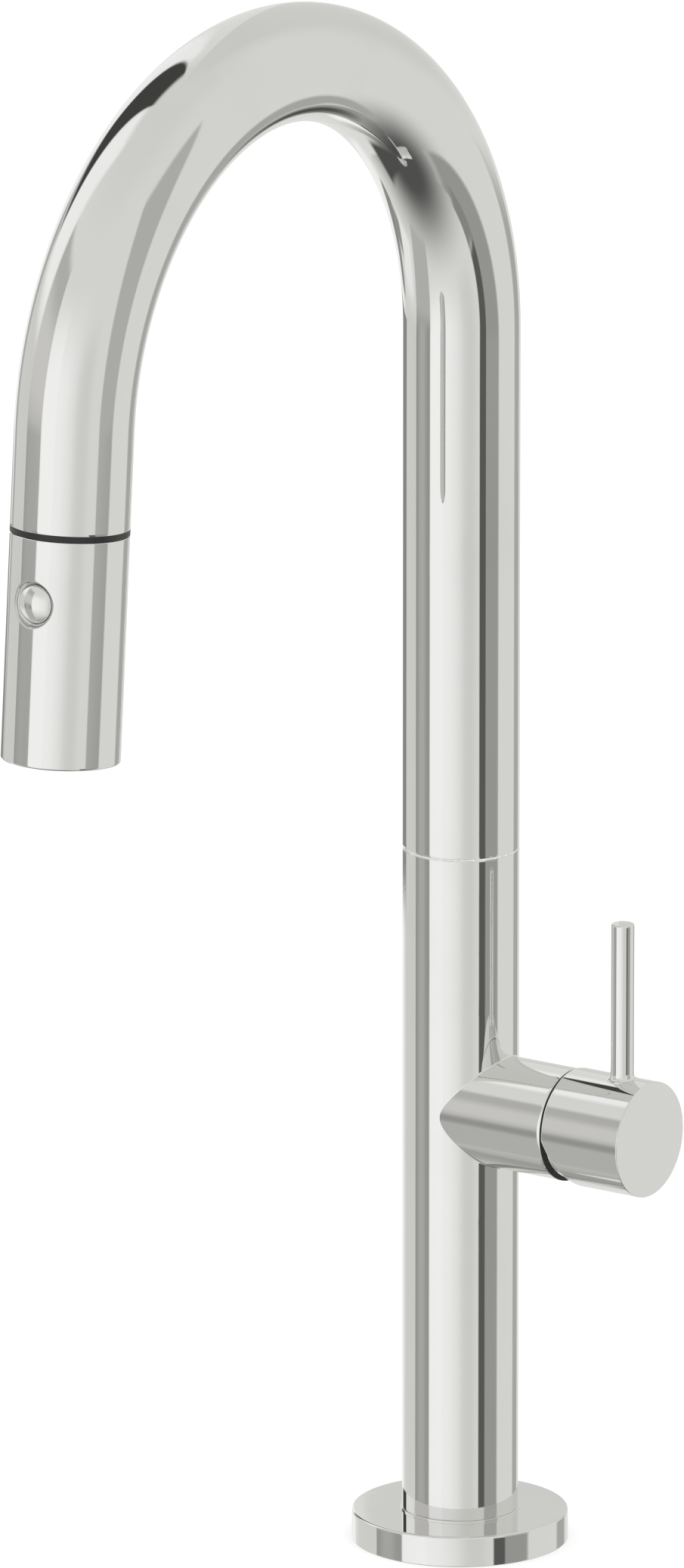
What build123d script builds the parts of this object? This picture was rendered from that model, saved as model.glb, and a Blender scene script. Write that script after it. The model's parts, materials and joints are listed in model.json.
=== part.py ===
from build123d import *
import os
from math import cos, hypot, radians, sin

# Pull-down kitchen faucet, built as the pieces it comes apart into. Millimetres, +Z up,
# origin on the column's axis at the deck. The spout reaches along -Y, the handle along +X.

# Clearances
turn_gap = 0.05  # radial, round a piece that turns or slides in its bore
seat_gap = 0.02  # radial, round a piece that is fixed in its bore
face_gap = 0.05  # between flat faces that move past each other
swing_gap = 0.3  # between shaped pieces that swing past each other

# Column, spout and deck
column_d = 35.0  # column, spout and spray head share this diameter
spout_wall = 1.5
body_wall = 3.0
seam_z = 215.0  # height of the swivel joint
rise_z = 374.2  # height where the spout starts to bend
bend_r = 96.7
bend_deg = 175.76
drop_l = 28.43  # straight stretch of tube after the bend
flange_d = 65.0
flange_t = 9.3
flange_land_h = 0.5  # raised seat under the column
flange_land_proud = 0.4
gasket_t = 1.5
gasket_w = 3.0
gasket_inset = 5.3  # gasket's outer edge, in from the flange's edge
shank_step = 1.5  # shank's radius under the column's
shank_l = 45.0  # below the deck
shank_wall = 3.0
shank_neck = 0.5  # neck's radial step inside the flange
shank_engage = 14.0  # threaded length inside the column

# Swivel joint
washer_t = 0.4
spigot_wall = 2.1
spigot_slack = 0.9  # radial room for the bushes round the spigot
spigot_l = 28.0
spigot_head_l = 10.0
bush_l = 5.0
upper_bush_drop = 1.5  # from the seam's washer to the upper bush
lower_bush_lift = 2.0  # from the spigot's end to the lower bush
spigot_ring_drop = 17.8  # from the seam to the friction ring
spigot_ring_w = 1.85
stop_drop = 11.5  # from the seam to the stop screw
stop_screw_r = 2.5
stop_tip_r = 1.4
stop_groove_depth = 1.2
stop_half_deg = 82.0
stop_socket_flat = 1.25

# Valve body inside the column
block_under = 23.3  # block's underside below the handle's axis
block_over = 22.7
port_r = 3.6  # M8x1 hose tails screw in here
port_l = 12.0
passage_r = 2.6
supply_port = (3.2, 8.6)  # x and +-y of the two supply ports
outlet_port_x = 9.0
hose_way_slack = 0.75  # radial room for the hose through the block
hose_side_gap = 1.0  # from the hose to the column's wall beside the block

# Spray hose
hose_r = 6.0
hose_bore_r = 4.0
shank_hose_gap = 1.5  # from the hose to the shank's wall
hose_tail_l = 3.0  # hose showing below the shank
quick_plug_lip = 1.4  # plug's rim outside the hose
quick_plug_l = 14.0

# Mixer cartridge, measured along +X from the column's axis
handle_z = 135.3
boss_end_x = 40.8
boss_wall = 2.2
pivot_out = 2.2  # tilt pivot, past the boss's end
cartridge_r = 12.5
cartridge_wall = 2.2
cartridge_collar_t = 2.0
nut_l = 4.5
nut_wall = 2.5
nut_bore_gap = 0.4
nut_lift = 0.3  # nut's face under the dome's skirt
base_seal_t = 1.2
base_seal_squeeze = 0.4  # seal showing under the cartridge
housing_floor_t = 2.2
fixed_disc_t = 3.2
moving_disc_t = 2.6
moving_disc_gap = 0.6  # from the disc's rim at full travel to the housing
driver_base_t = 2.0
driver_boss_r = 4.2
driver_boss_l = 4.0
driver_floor_t = 0.975  # under the stem's ball
carrier_low_gap = 0.3
carrier_over = 3.0  # carrier's top above the tilt pivot
snap_ring_t = 0.6
housing_lip = 0.55
stem_arm = 13.0  # pivot to ball
stem_crank_deg = 11.0
stem_arm_r = 1.6
stem_ball_r = 2.4
ball_gap = 0.1
stem_r = 3.4
stem_out = 21.0  # stem past the pivot
stem_hub_r = 3.2
stem_hub_half = 3.3
pivot_pin_r = 1.5
pivot_pin_inset = 1.75  # pin's ends, in from the carrier's rim
flow_deg = 22.0
port_degs = (152, 28, 270)  # round the valve's axis, from +Y
port_rim = 1.6  # from a port to the disc's rim
disc_port_r = 2.3

# Handle
dome_step = 0.9  # dome's radius past the boss's bore
dome_wall = 1.5
dome_reach = 6.5  # past the pivot
dome_skirt_l = 3.0
cap_wall = 1.6  # cap's radius past the dome's
cap_gap = 0.6  # between the boss and the cap
cap_reach = 26.05  # cap's end past the pivot
cap_floor = 12.0  # socket's depth past the pivot
cap_edge = 0.6
relief_extra_deg = 1.5
lever_r = 3.5
lever_out = 16.0  # lever past the pivot
lever_rise = 65.0  # lever's top above the handle's axis
lever_root = 5.6  # lever's foot above the handle's axis
lever_flare = 1.3
lever_edge = 0.5
set_screw_r = 2.5
set_screw_l = 9.0
plug_r = 3.2

# Spout end and spray head, measured along the outlet from the end of the bend
collar_t = 1.8
collar_plug_l = 11.0
neck_slack = 0.25  # radial room for the spray neck in the collar
magnet_t = 5.0
magnet_wall = 4.6
guide_low = 1.0
guide_l = 5.0
guide_slack = 0.5
head_gap = 0.07
head_l = 67.1
head_wall = 1.6
head_edge = 0.8
neck_r = 10.2
neck_l = 10.3  # neck above the head
neck_flange_l = 6.0
armature_t = 1.6
ferrule_l = 11.0
ferrule_gap = 1.0  # from the ferrule to the neck
ferrule_wall = 1.2
barb_l = 10.0
fitting_r = 5.0
fitting_bore_r = 3.0
fitting_flange_r = 6.4
fitting_flange_t = 1.8
fitting_flange_in = 3.3  # flange's face inside the head
fitting_nose_l = 6.0
check_valve_r = 4.05
check_valve_l = 7.0
core_way_r = 3.5
side_way_r = 2.0
button_down = 19.1  # button's axis below the head's top
button_r = 5.75
button_gap = 0.1  # round the button in its bezel
button_dome = 2.1
button_sink = 1.5  # rim of the button's dome, under the head's surface
button_depth = 4.3  # button's foot, under the head's surface
button_skirt = 0.5
button_skirt_t = 0.9
button_travel = 2.5
bezel_wall = 0.73
bezel_sink = 1.9
bezel_depth = 3.1
plunger_r = 2.0
plunger_land_r = 3.95
plunger_end = -4.0
plunger_run_out = 1.0  # bore left past the plunger when pressed
spring_wire_r = 0.35
spring_out = 0.65  # coil's middle radius past the plunger's land
spring_turns = 4
spring_depth = 10.5  # spring's seat, under the head's surface
face_t = 3.0
face_recess = 1.0
chamber_l = 7.9  # from the core to the nozzle mat
nozzle_r = 0.9
inner_ring_gap = 2.4  # inner nozzles, outside the aerator
outer_ring_gap = 2.7  # outer nozzles, inside the shell's bore
inner_count = 14
outer_count = 18
mat_t = 1.6
nozzle_out = 0.7
aerator_r = 8.0
aerator_wall = 1.1
screen_t = 0.3
screen_pitch = 1.5

# Worked out from the sizes above
column_r = column_d / 2
body_bore_r = column_r - body_wall
spout_bore_r = column_r - spout_wall
foot_z = flange_t + flange_land_h
shank_r = column_r - shank_step
shank_bore_r = shank_r - shank_wall
shank_neck_r = shank_r - shank_neck
body_top_z = seam_z - washer_t / 2
spout_low_z = seam_z + washer_t / 2 + face_gap
spigot_r = body_bore_r - spigot_slack
spigot_bore_r = spigot_r - spigot_wall
spigot_low_z = seam_z - spigot_l
stop_z = seam_z - stop_drop
block_low = handle_z - block_under
block_high = handle_z + block_over
hose_way_r = hose_r + hose_way_slack
hose_way_x = hose_r + hose_side_gap - body_bore_r
shank_hose_x = hose_r + shank_hose_gap - shank_bore_r
quick_plug_r = hose_r + quick_plug_lip
boss_bore_r = cartridge_r + nut_wall
boss_r = boss_bore_r + boss_wall
pivot_x = boss_end_x + pivot_out
cartridge_step_x = boss_end_x - dome_skirt_l - nut_lift - nut_l - cartridge_collar_t
carrier_high_x = pivot_x + carrier_over
ball_socket_x = pivot_x - stem_arm - stem_ball_r - 2 * ball_gap
driver_low_x = ball_socket_x - driver_floor_t
disc_face_x = driver_low_x - moving_disc_t
disc_seat_x = disc_face_x - face_gap / 2 - fixed_disc_t
housing_low_x = disc_seat_x - housing_floor_t
valve_floor_x = housing_low_x - base_seal_squeeze
driver_face_x = driver_low_x + driver_base_t
driver_high_x = driver_face_x + driver_boss_l
carrier_r = cartridge_r - cartridge_wall - turn_gap
stem_sine = sin(radians(stem_crank_deg))
stem_cosine = cos(radians(stem_crank_deg))
disc_offset = stem_arm * stem_sine
moving_disc_r = carrier_r - disc_offset - moving_disc_gap
port_ring_r = carrier_r - disc_port_r - port_rim
port_ring = [(port_ring_r * cos(radians(a)), port_ring_r * sin(radians(a))) for a in port_degs]
dome_r = boss_bore_r + dome_step
cap_r = dome_r + cap_wall
cap_start_x = boss_end_x + cap_gap
cap_end_x = pivot_x + cap_reach
lever_x = pivot_x + lever_out
lever_top_z = handle_z + lever_rise
collar_bore_r = neck_r + neck_slack
head_top = drop_l + collar_t + head_gap
head_end = head_top + head_l
head_bore_r = column_r - head_wall
neck_top = head_top - neck_l
ferrule_end = neck_top - ferrule_gap
ferrule_start = ferrule_end - ferrule_l
barb_start = ferrule_end - barb_l
fitting_flange_at = head_top + fitting_flange_in
core_top = head_top + head_wall + neck_flange_l
face_end = head_end - face_recess
core_end = face_end - face_t - mat_t - chamber_l
nozzle_rings = (
    (aerator_r + inner_ring_gap, inner_count), (head_bore_r - outer_ring_gap, outer_count),
)
button_at = head_top + button_down
button_edge = column_r - button_sink
button_low = column_r - button_depth
button_skirt_r = button_r + button_skirt
bezel_low = column_r - bezel_depth
bezel_high = column_r - bezel_sink
button_hole_r = button_r + button_gap + bezel_wall + seat_gap
spring_seat = column_r - spring_depth
spring_coil_r = plunger_land_r + spring_out
plunger_bore_end = plunger_end - button_travel - plunger_run_out
bend_end = Vector(0, bend_r * (cos(radians(bend_deg)) - 1), rise_z + bend_r * sin(radians(bend_deg)))
outlet_way = Vector(0, -sin(radians(bend_deg)), cos(radians(bend_deg)))

# Local frames: along the outlet, with +Y to the front, and along the valve, with +Y up
outlet = Plane(origin=bend_end, x_dir=(1, 0, 0), z_dir=outlet_way).location
valve = Plane(origin=(0, 0, handle_z), x_dir=(0, 1, 0), z_dir=(1, 0, 0)).location
button_axis = Plane(origin=(0, 0, button_at), x_dir=(1, 0, 0), z_dir=(0, 1, 0)).location


def turned(*profile):
    """A solid turned about Z from (radius, height) points."""
    outline = Polyline(*[(r, 0, h) for r, h in profile], close=True)
    return revolve(make_face(outline), Axis.Z)


def ring(outer_r, inner_r, low, high):
    """A plain ring between two heights."""
    return turned((inner_r, low), (outer_r, low), (outer_r, high), (inner_r, high))


def rod(r, low, high):
    """A plain cylinder between two heights."""
    return Pos(0, 0, (low + high) / 2) * Cylinder(r, high - low)


def drilled(start, end, r):
    """A straight way of radius r from one point to another."""
    start, end = Vector(*start), Vector(*end)
    return Plane(origin=start, z_dir=end - start) * rod(r, 0, (end - start).length)


def o_ring(middle_r, section_r, at):
    """A round seal at a height."""
    return Pos(0, 0, at) * Torus(middle_r, section_r)


def along_spout(outer_r, inner_r, low, drop):
    """A tube on the spout's centreline from height low, over the bend and drop past it."""
    section = Pos(0, 0, rise_z) * (Circle(outer_r) - Circle(inner_r))
    bend = revolve(section, Axis((0, -bend_r, rise_z), (1, 0, 0)), revolution_arc=bend_deg)
    tube = ring(outer_r, inner_r, low, rise_z) + bend
    return tube + outlet * ring(outer_r, inner_r, 0, drop) if drop else tube


# ---- deck


def base_flange():
    bore_r = shank_neck_r + 2 * turn_gap
    outer_r = flange_d / 2
    disc = turned(
        (bore_r, 0), (outer_r, 0), (outer_r, flange_t), (column_r + flange_land_proud, flange_t),
        (column_r + flange_land_proud, foot_z), (bore_r, foot_z),
    )
    edge = disc.edges().filter_by(GeomType.CIRCLE).group_by(Axis.Z)[-2].sort_by(SortBy.RADIUS)[-1]
    groove_r = outer_r - gasket_inset
    return fillet(edge, 0.8) - ring(groove_r, groove_r - gasket_w, 0, gasket_t)


def flange_gasket():
    groove_r = flange_d / 2 - gasket_inset - seat_gap
    return ring(groove_r, groove_r - gasket_w + 2 * seat_gap, 0, gasket_t)


def deck_shank():
    tip_r = body_bore_r - seat_gap
    return turned(
        (shank_bore_r, -shank_l), (shank_r, -shank_l), (shank_r, 0), (shank_neck_r, 0),
        (shank_neck_r, foot_z), (tip_r, foot_z), (tip_r, foot_z + shank_engage),
        (shank_bore_r, foot_z + shank_engage),
    )


# ---- lower column and swivel


def supply_ways():
    """The three ports under the valve block and their ways to the cartridge's floor."""
    x, y = supply_port
    low_end = block_low + port_l
    ways = []
    for (port_x, port_y), (way_y, way_z) in zip(((x, -y), (x, y), (outlet_port_x, 0)), port_ring):
        turn = (port_x, port_y, handle_z + way_z)
        ways.append(drilled((port_x, port_y, block_low), (port_x, port_y, low_end), port_r))
        ways.append(drilled((port_x, port_y, low_end), turn, passage_r))
        ways.append(drilled(turn, (valve_floor_x, way_y, handle_z + way_z), passage_r))
        ways.append(Pos(*turn) * Sphere(passage_r))
    return ways


def lower_body():
    body = rod(column_r, foot_z, body_top_z) + valve * rod(boss_r, 0, boss_end_x)
    body -= rod(body_bore_r, foot_z, block_low) + rod(body_bore_r, block_high, body_top_z)
    body -= Pos(hose_way_x, 0, 0) * rod(hose_way_r, block_low, block_high)
    body -= valve * rod(cartridge_r + seat_gap, valve_floor_x, cartridge_step_x)
    body -= valve * rod(boss_bore_r, cartridge_step_x, boss_end_x)
    body -= drilled((0, body_bore_r - 2, stop_z), (0, column_r + 1, stop_z), stop_screw_r + seat_gap)
    return body - supply_ways()


def swivel_washer():
    return ring(column_r - 0.25, spigot_r + 0.3, body_top_z, body_top_z + washer_t)


def swivel_bush(low):
    return ring(body_bore_r - seat_gap, spigot_r + turn_gap, low, low + bush_l)


def spout_retaining_screw():
    tip_y = spigot_r - stop_groove_depth + 0.2
    screw = drilled((0, tip_y, stop_z), (0, body_bore_r, stop_z), stop_tip_r)
    screw += drilled((0, body_bore_r, stop_z), (0, column_r - 0.3, stop_z), stop_screw_r)
    socket = Plane(origin=(0, column_r - 0.3, stop_z), z_dir=(0, -1, 0)) * extrude(
        RegularPolygon(stop_socket_flat, 6, major_radius=False), 1.5
    )
    return screw - socket


def swivel_spigot():
    head_r = spout_bore_r - seat_gap
    spigot = turned(
        (spigot_bore_r, spigot_low_z), (spigot_r, spigot_low_z), (spigot_r, spout_low_z),
        (head_r, spout_low_z), (head_r, spout_low_z + spigot_head_l),
        (spigot_bore_r, spout_low_z + spigot_head_l),
    )
    ring_z = seam_z - spigot_ring_drop
    ring_groove = ring(spigot_r + 1, spigot_ring_r() - spigot_ring_w / 2 - turn_gap,
                       ring_z - spigot_ring_w / 2 - 0.15, ring_z + spigot_ring_w / 2 + 0.15)
    low, high = stop_z - stop_tip_r - 0.2, stop_z + stop_tip_r + 0.2
    inner, outer = spigot_r - stop_groove_depth, spigot_r + 1
    outline = Polyline((inner, 0, low), (outer, 0, low), (outer, 0, high), (inner, 0, high), close=True)
    stop_groove = revolve(make_face(outline), Axis.Z, revolution_arc=2 * stop_half_deg)
    return spigot - ring_groove - Rot(0, 0, 90 - stop_half_deg) * stop_groove


def spigot_ring_r():
    """Middle radius of the friction ring, which just clears the column's bore."""
    return body_bore_r - turn_gap - spigot_ring_w / 2


def swivel_o_ring():
    return o_ring(spigot_ring_r(), spigot_ring_w / 2, seam_z - spigot_ring_drop)


# ---- spray hose


def spray_hose_lower():
    way_top, way_low = block_high + 8, block_low - 12
    route = FilletPolyline(
        (0, 0, body_top_z), (0, 0, way_top + 30), (hose_way_x, 0, way_top), (hose_way_x, 0, way_low),
        (shank_hose_x, 0, way_low - 40), (shank_hose_x, 0, -shank_l - hose_tail_l),
        radius=[60, 60, 200, 200],
    )
    section = Plane(origin=(0, 0, body_top_z), z_dir=(0, 0, -1)) * (Circle(hose_r) - Circle(hose_bore_r))
    return sweep(section, route)


def hose_quick_plug():
    top = -shank_l - hose_tail_l
    low = top - quick_plug_l
    plug = turned(
        (hose_bore_r - 1, low), (hose_r - 1, low), (hose_r - 1, low + 4), (hose_r - 1.6, low + 4),
        (hose_r - 1.6, low + 5.5), (hose_r - 1, low + 5.5), (hose_r - 1, low + 7),
        (quick_plug_r, low + 8), (quick_plug_r, top), (hose_bore_r - 1, top),
    )
    return Pos(shank_hose_x, 0, 0) * plug


# ---- mixer cartridge


def port_ways(r, low, high):
    ways = [Pos(y, z, 0) * rod(r, low, high) for y, z in port_ring]
    return ways[0] + ways[1] + ways[2]


def cartridge_housing():
    bore_r = carrier_r + turn_gap
    collar_r = boss_bore_r - seat_gap
    top = carrier_high_x + face_gap + snap_ring_t + housing_lip
    step = cartridge_step_x
    body = turned(
        (0, housing_low_x), (cartridge_r, housing_low_x), (cartridge_r, step), (collar_r, step),
        (collar_r, step + cartridge_collar_t), (cartridge_r, step + cartridge_collar_t),
        (cartridge_r, top), (bore_r, top), (bore_r, disc_seat_x), (0, disc_seat_x),
    )
    snap_low = carrier_high_x + face_gap
    body -= ring(bore_r + 0.9, bore_r - 1, snap_low, snap_low + snap_ring_t)
    pocket_top = valve_floor_x + base_seal_t
    body -= port_ways(disc_port_r, housing_low_x, disc_seat_x)
    return valve * (body - port_ways(seal_r() + seat_gap, housing_low_x, pocket_top))


def seal_r():
    return disc_port_r + 1.0


def cartridge_base_seals():
    top = valve_floor_x + base_seal_t
    seals = [Pos(y, z, 0) * ring(seal_r(), seal_r() - 0.9, valve_floor_x, top) for y, z in port_ring]
    return valve * Compound(children=seals)


def fixed_ceramic_disc():
    r = carrier_r
    body = rod(r, disc_seat_x, disc_seat_x + fixed_disc_t)
    return valve * (body - port_ways(disc_port_r, disc_seat_x, disc_seat_x + fixed_disc_t))


def cartridge_nut():
    low = cartridge_step_x + cartridge_collar_t
    nut = ring(boss_bore_r - seat_gap, cartridge_r + nut_bore_gap, low, low + nut_l)
    notches = [
        Rot(0, 0, 60 * i) * Pos(cartridge_r + 1.2, 0, low + nut_l) * Box(2.4, 2.2, 2) for i in range(6)
    ]
    for notch in notches:
        nut -= notch
    return valve * nut


def carrier_snap_ring():
    low = carrier_high_x + face_gap
    bore_r = carrier_r + turn_gap
    wire = ring(bore_r + 0.85, bore_r - 0.8, low, low + snap_ring_t)
    return valve * (wire - Pos(-bore_r, 0, low) * Box(4, 3, 4))


def stem_carrier():
    low = driver_face_x + carrier_low_gap
    body = rod(carrier_r, low, carrier_high_x)
    lane_half = disc_offset + driver_boss_r + swing_gap
    lane_top = driver_high_x + 0.6
    body -= Pos(0, 0, (low + lane_top) / 2) * Box(
        2 * (driver_boss_r + turn_gap), 2 * lane_half, lane_top - low
    )
    wide_low = pivot_x - stem_hub_r - 0.3
    body -= Pos(0, 0, (lane_top + wide_low) / 2) * Box(
        2 * (stem_arm_r + 0.4), 2 * (disc_offset + stem_arm_r + 0.2), wide_low - lane_top
    )
    body -= Pos(0, 0, (wide_low + carrier_high_x) / 2) * Box(
        2 * (stem_r + 0.2), 2 * (stem_r + 1.8), carrier_high_x - wide_low
    )
    body -= Plane(origin=(0, 0, pivot_x), z_dir=(1, 0, 0)) * rod(
        pivot_pin_r + seat_gap, -carrier_r, carrier_r
    )
    ring_at = carrier_ring_x()
    return valve * (body - ring(carrier_r + 1, carrier_r - 1.35, ring_at - 0.85, ring_at + 0.85))


def carrier_ring_x():
    return pivot_x - stem_hub_r - 2.6


def carrier_o_ring():
    return valve * o_ring(carrier_r - 0.65, 0.65, carrier_ring_x())


def stem_pivot_pin():
    half = carrier_r - pivot_pin_inset
    return drilled((pivot_x, -half, handle_z), (pivot_x, half, handle_z), pivot_pin_r)


def moving_ceramic_disc():
    body = rod(moving_disc_r, disc_face_x, driver_low_x)
    pocket = Pos(0, 0, disc_face_x + moving_disc_t / 4) * Box(8.4, 6.4, moving_disc_t / 2)
    return valve * Pos(0, -disc_offset, 0) * (body - pocket)


def disc_driver():
    body = rod(moving_disc_r, driver_low_x, driver_face_x)
    body += rod(driver_boss_r, driver_face_x, driver_high_x)
    socket = rod(stem_ball_r + ball_gap, ball_socket_x, driver_high_x)
    return valve * Pos(0, -disc_offset, 0) * (body - socket)


# ---- handle


def mixer_stem():
    ball = (pivot_x - stem_arm * stem_cosine, 0, handle_z - disc_offset)
    pivot = (pivot_x, 0, handle_z)
    stem = Pos(*ball) * Sphere(stem_ball_r) + drilled(ball, pivot, stem_arm_r)
    stem += drilled((pivot_x, -stem_hub_half, handle_z), (pivot_x, stem_hub_half, handle_z), stem_hub_r)
    stem += drilled(pivot, (pivot_x + stem_out, 0, handle_z), stem_r)
    reach = stem_hub_half + 1
    return stem - drilled((pivot_x, -reach, handle_z), (pivot_x, reach, handle_z), pivot_pin_r + turn_gap)


def handle_dome():
    """A shell round the pivot that stays closed behind the handle as it tilts."""
    inner_r = dome_r - dome_wall
    back = boss_end_x - pivot_x
    shell = Sphere(dome_r) - Sphere(inner_r)
    span = dome_reach - back
    shell &= Pos(0, 0, (dome_reach + back) / 2) * Box(3 * dome_r, 3 * dome_r, span)
    skirt_r = boss_bore_r - seat_gap
    skirt = ring(skirt_r, skirt_r - dome_wall, back - dome_skirt_l, back + 0.4)
    groove_at = back - dome_skirt_l / 2
    skirt -= ring(skirt_r + 1, skirt_r - 0.7, groove_at - 0.5, groove_at + 0.5)
    return valve * Pos(0, 0, pivot_x) * (shell + skirt)


def dome_o_ring():
    at = boss_end_x - dome_skirt_l / 2
    skirt_r = boss_bore_r - seat_gap
    return valve * ring(skirt_r, skirt_r - 0.68, at - 0.45, at + 0.45)


def cap_barrel(r):
    return drilled((cap_start_x, 0, handle_z), (cap_end_x, 0, handle_z), r)


def handle_cap():
    cap = cap_barrel(cap_r)
    cap = fillet(cap.edges().filter_by(GeomType.CIRCLE).sort_by(Axis.X)[-1], cap_edge)
    socket = Sphere(dome_r + swing_gap)
    socket &= Pos(0, 0, cap_floor - 2 * dome_r) * Box(4 * dome_r, 4 * dome_r, 4 * dome_r)
    cap -= valve * Pos(0, 0, pivot_x) * socket
    relief_deg = flow_deg + relief_extra_deg
    back = pivot_x - boss_end_x - swing_gap
    relief = Pos(pivot_x, 0, handle_z) * Rot(0, -relief_deg, 0) * Pos(-back - 20, 0, 0) * Box(40, 60, 60)
    cap -= relief
    cap -= drilled((pivot_x, 0, handle_z), (pivot_x + stem_out, 0, handle_z), stem_r + seat_gap)
    cap -= Pos(lever_x, 0, 0) * rod(lever_r + seat_gap, handle_z + lever_root, handle_z + 2 * cap_r)
    screw_low = handle_z - stem_r - set_screw_l
    cap -= Pos(lever_x, 0, 0) * rod(set_screw_r + seat_gap, screw_low, handle_z)
    return cap - Pos(lever_x, 0, 0) * rod(plug_r + seat_gap, handle_z - 2 * cap_r, screw_low)


def lever_pin():
    foot, surface = handle_z + lever_root, handle_z + cap_r
    flare_r = lever_r + lever_flare
    pin = turned(
        (0, foot), (lever_r, foot), (lever_r, surface - 1), (flare_r, surface - 1), (flare_r, surface),
        (lever_r + 0.4 * lever_flare, surface + 0.35 * lever_flare),
        (lever_r + 0.1 * lever_flare, surface + 0.75 * lever_flare),
        (lever_r, surface + 1.4 * lever_flare), (lever_r, lever_top_z - lever_edge),
        (lever_r - lever_edge, lever_top_z), (0, lever_top_z),
    )
    below = cap_barrel(cap_r) - Pos(lever_x, 0, 0) * rod(lever_r, handle_z, handle_z + 2 * cap_r)
    return Pos(lever_x, 0, 0) * pin - below


def handle_set_screw():
    top = handle_z - stem_r
    low = top - set_screw_l
    socket = Pos(0, 0, low) * extrude(RegularPolygon(1.25, 6, major_radius=False), 2.5)
    return Pos(lever_x, 0, 0) * (rod(set_screw_r, low, top) - socket)


def handle_screw_plug():
    top = handle_z - stem_r - set_screw_l
    plug = Pos(lever_x, 0, 0) * rod(plug_r, handle_z - 2 * cap_r, top)
    return plug & cap_barrel(cap_r)


# ---- spout end


def dock_collar():
    low = drop_l - collar_plug_l
    plug_r_out = spout_bore_r - seat_gap
    body = turned(
        (collar_bore_r, low), (plug_r_out, low), (plug_r_out, drop_l), (column_r, drop_l),
        (column_r, drop_l + collar_t), (collar_bore_r, drop_l + collar_t),
    )
    return outlet * body


def dock_magnet():
    top = drop_l - collar_plug_l
    outer_r = spout_bore_r - seat_gap
    return outlet * ring(outer_r, outer_r - magnet_wall, top - magnet_t, top)


def hose_guide_bush():
    return outlet * ring(
        spout_bore_r - seat_gap, hose_r + guide_slack, guide_low, guide_low + guide_l
    )


# ---- hose end


def hose_end_section():
    return outlet * ring(hose_r, hose_bore_r, 0, ferrule_end)


def hose_ferrule():
    r = hose_r + seat_gap
    return outlet * ring(r + ferrule_wall, r, ferrule_start, ferrule_end)


def hose_end_fitting():
    barb_r = hose_bore_r - seat_gap
    flange_end = fitting_flange_at + fitting_flange_t
    nose_end = flange_end + fitting_nose_l
    body = turned(
        (fitting_bore_r, barb_start), (barb_r, barb_start), (barb_r, ferrule_end),
        (hose_r + ferrule_wall, ferrule_end), (fitting_r, ferrule_end + 0.8),
        (fitting_r, fitting_flange_at), (fitting_flange_r, fitting_flange_at),
        (fitting_flange_r, flange_end), (fitting_r, flange_end), (fitting_r, nose_end),
        (check_valve_r + seat_gap, nose_end), (check_valve_r + seat_gap, nose_end - check_valve_l),
        (fitting_bore_r, nose_end - check_valve_l),
    )
    groove_at = flange_end + 3.0
    return outlet * (body - ring(fitting_r + 1, fitting_r - 0.65, groove_at - 0.7, groove_at + 0.7))


def fitting_o_ring():
    at = fitting_flange_at + fitting_flange_t + 3.0
    return outlet * ring(fitting_r + turn_gap, fitting_r - 0.6, at - 0.6, at + 0.6)


def check_valve():
    end = fitting_flange_at + fitting_flange_t + fitting_nose_l
    low = end - check_valve_l
    body = turned(
        (0, low + 1.5), (1.4, low + 1.5), (1.4, low + 0.2), (check_valve_r, low + 0.2),
        (check_valve_r, end), (2.6, end), (2.6, end - 2), (0, end - 2),
    )
    return outlet * body


# ---- spray head


def spray_shell():
    wall_top = head_top + head_wall
    body = turned(
        (neck_r + seat_gap, head_top), (column_r, head_top), (column_r, head_end),
        (head_bore_r, head_end), (head_bore_r, wall_top), (neck_r + seat_gap, wall_top),
    )
    rims = body.edges().filter_by(GeomType.CIRCLE).group_by(Axis.Z)[-1]
    body = fillet(rims, min(head_edge, 0.45 * head_wall))
    return outlet * (body - button_axis * rod(button_hole_r, head_bore_r / 2, column_r + 2))


def spray_neck():
    top = head_top + head_wall
    flange_r = head_bore_r - seat_gap
    shoulder = fitting_flange_at - face_gap
    body = turned(
        (fitting_r + turn_gap, neck_top), (neck_r - 1.6, neck_top), (neck_r, neck_top + 2.4),
        (neck_r, top), (flange_r, top), (flange_r, core_top),
        (fitting_flange_r + 4 * turn_gap, core_top), (fitting_flange_r + 4 * turn_gap, shoulder),
        (fitting_r + turn_gap, shoulder),
    )
    return outlet * (body - ring(*armature_radii(), top, top + armature_t))


def armature_radii():
    """Outer and inner radius of the steel ring that the magnet holds."""
    return head_bore_r - 0.8, neck_r + 0.8


def docking_armature():
    outer_r, inner_r = armature_radii()
    top = head_top + head_wall
    return outlet * ring(outer_r - seat_gap, inner_r + seat_gap, top, top + armature_t)


def spray_core():
    nose_end = fitting_flange_at + fitting_flange_t + fitting_nose_l
    body = rod(head_bore_r - seat_gap, core_top, core_end)
    body -= rod(fitting_r + 2 * turn_gap, core_top, nose_end + 0.6)
    body -= rod(core_way_r, nose_end, core_end)
    body -= drilled((0, -9.5, button_at), (0, -9.5, core_end), side_way_r)
    body -= drilled((0, -9.5, button_at), (0, plunger_bore_end, button_at), side_way_r)
    body -= Pos(0, -9.5, button_at) * Sphere(side_way_r)
    body -= button_axis * rod(plunger_land_r + turn_gap, plunger_bore_end, spring_seat)
    body -= button_axis * rod(button_skirt_r + 0.2, spring_seat, bezel_low)
    body -= button_axis * rod(button_hole_r + seat_gap, bezel_low, column_r)
    groove_at = core_end - 4
    return outlet * (body - ring(column_r, head_bore_r - 1.5, groove_at - 0.9, groove_at + 0.9))


def core_seal_ring():
    at = core_end - 4
    return outlet * ring(head_bore_r - seat_gap, head_bore_r - 1.45, at - 0.8, at + 0.8)


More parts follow.
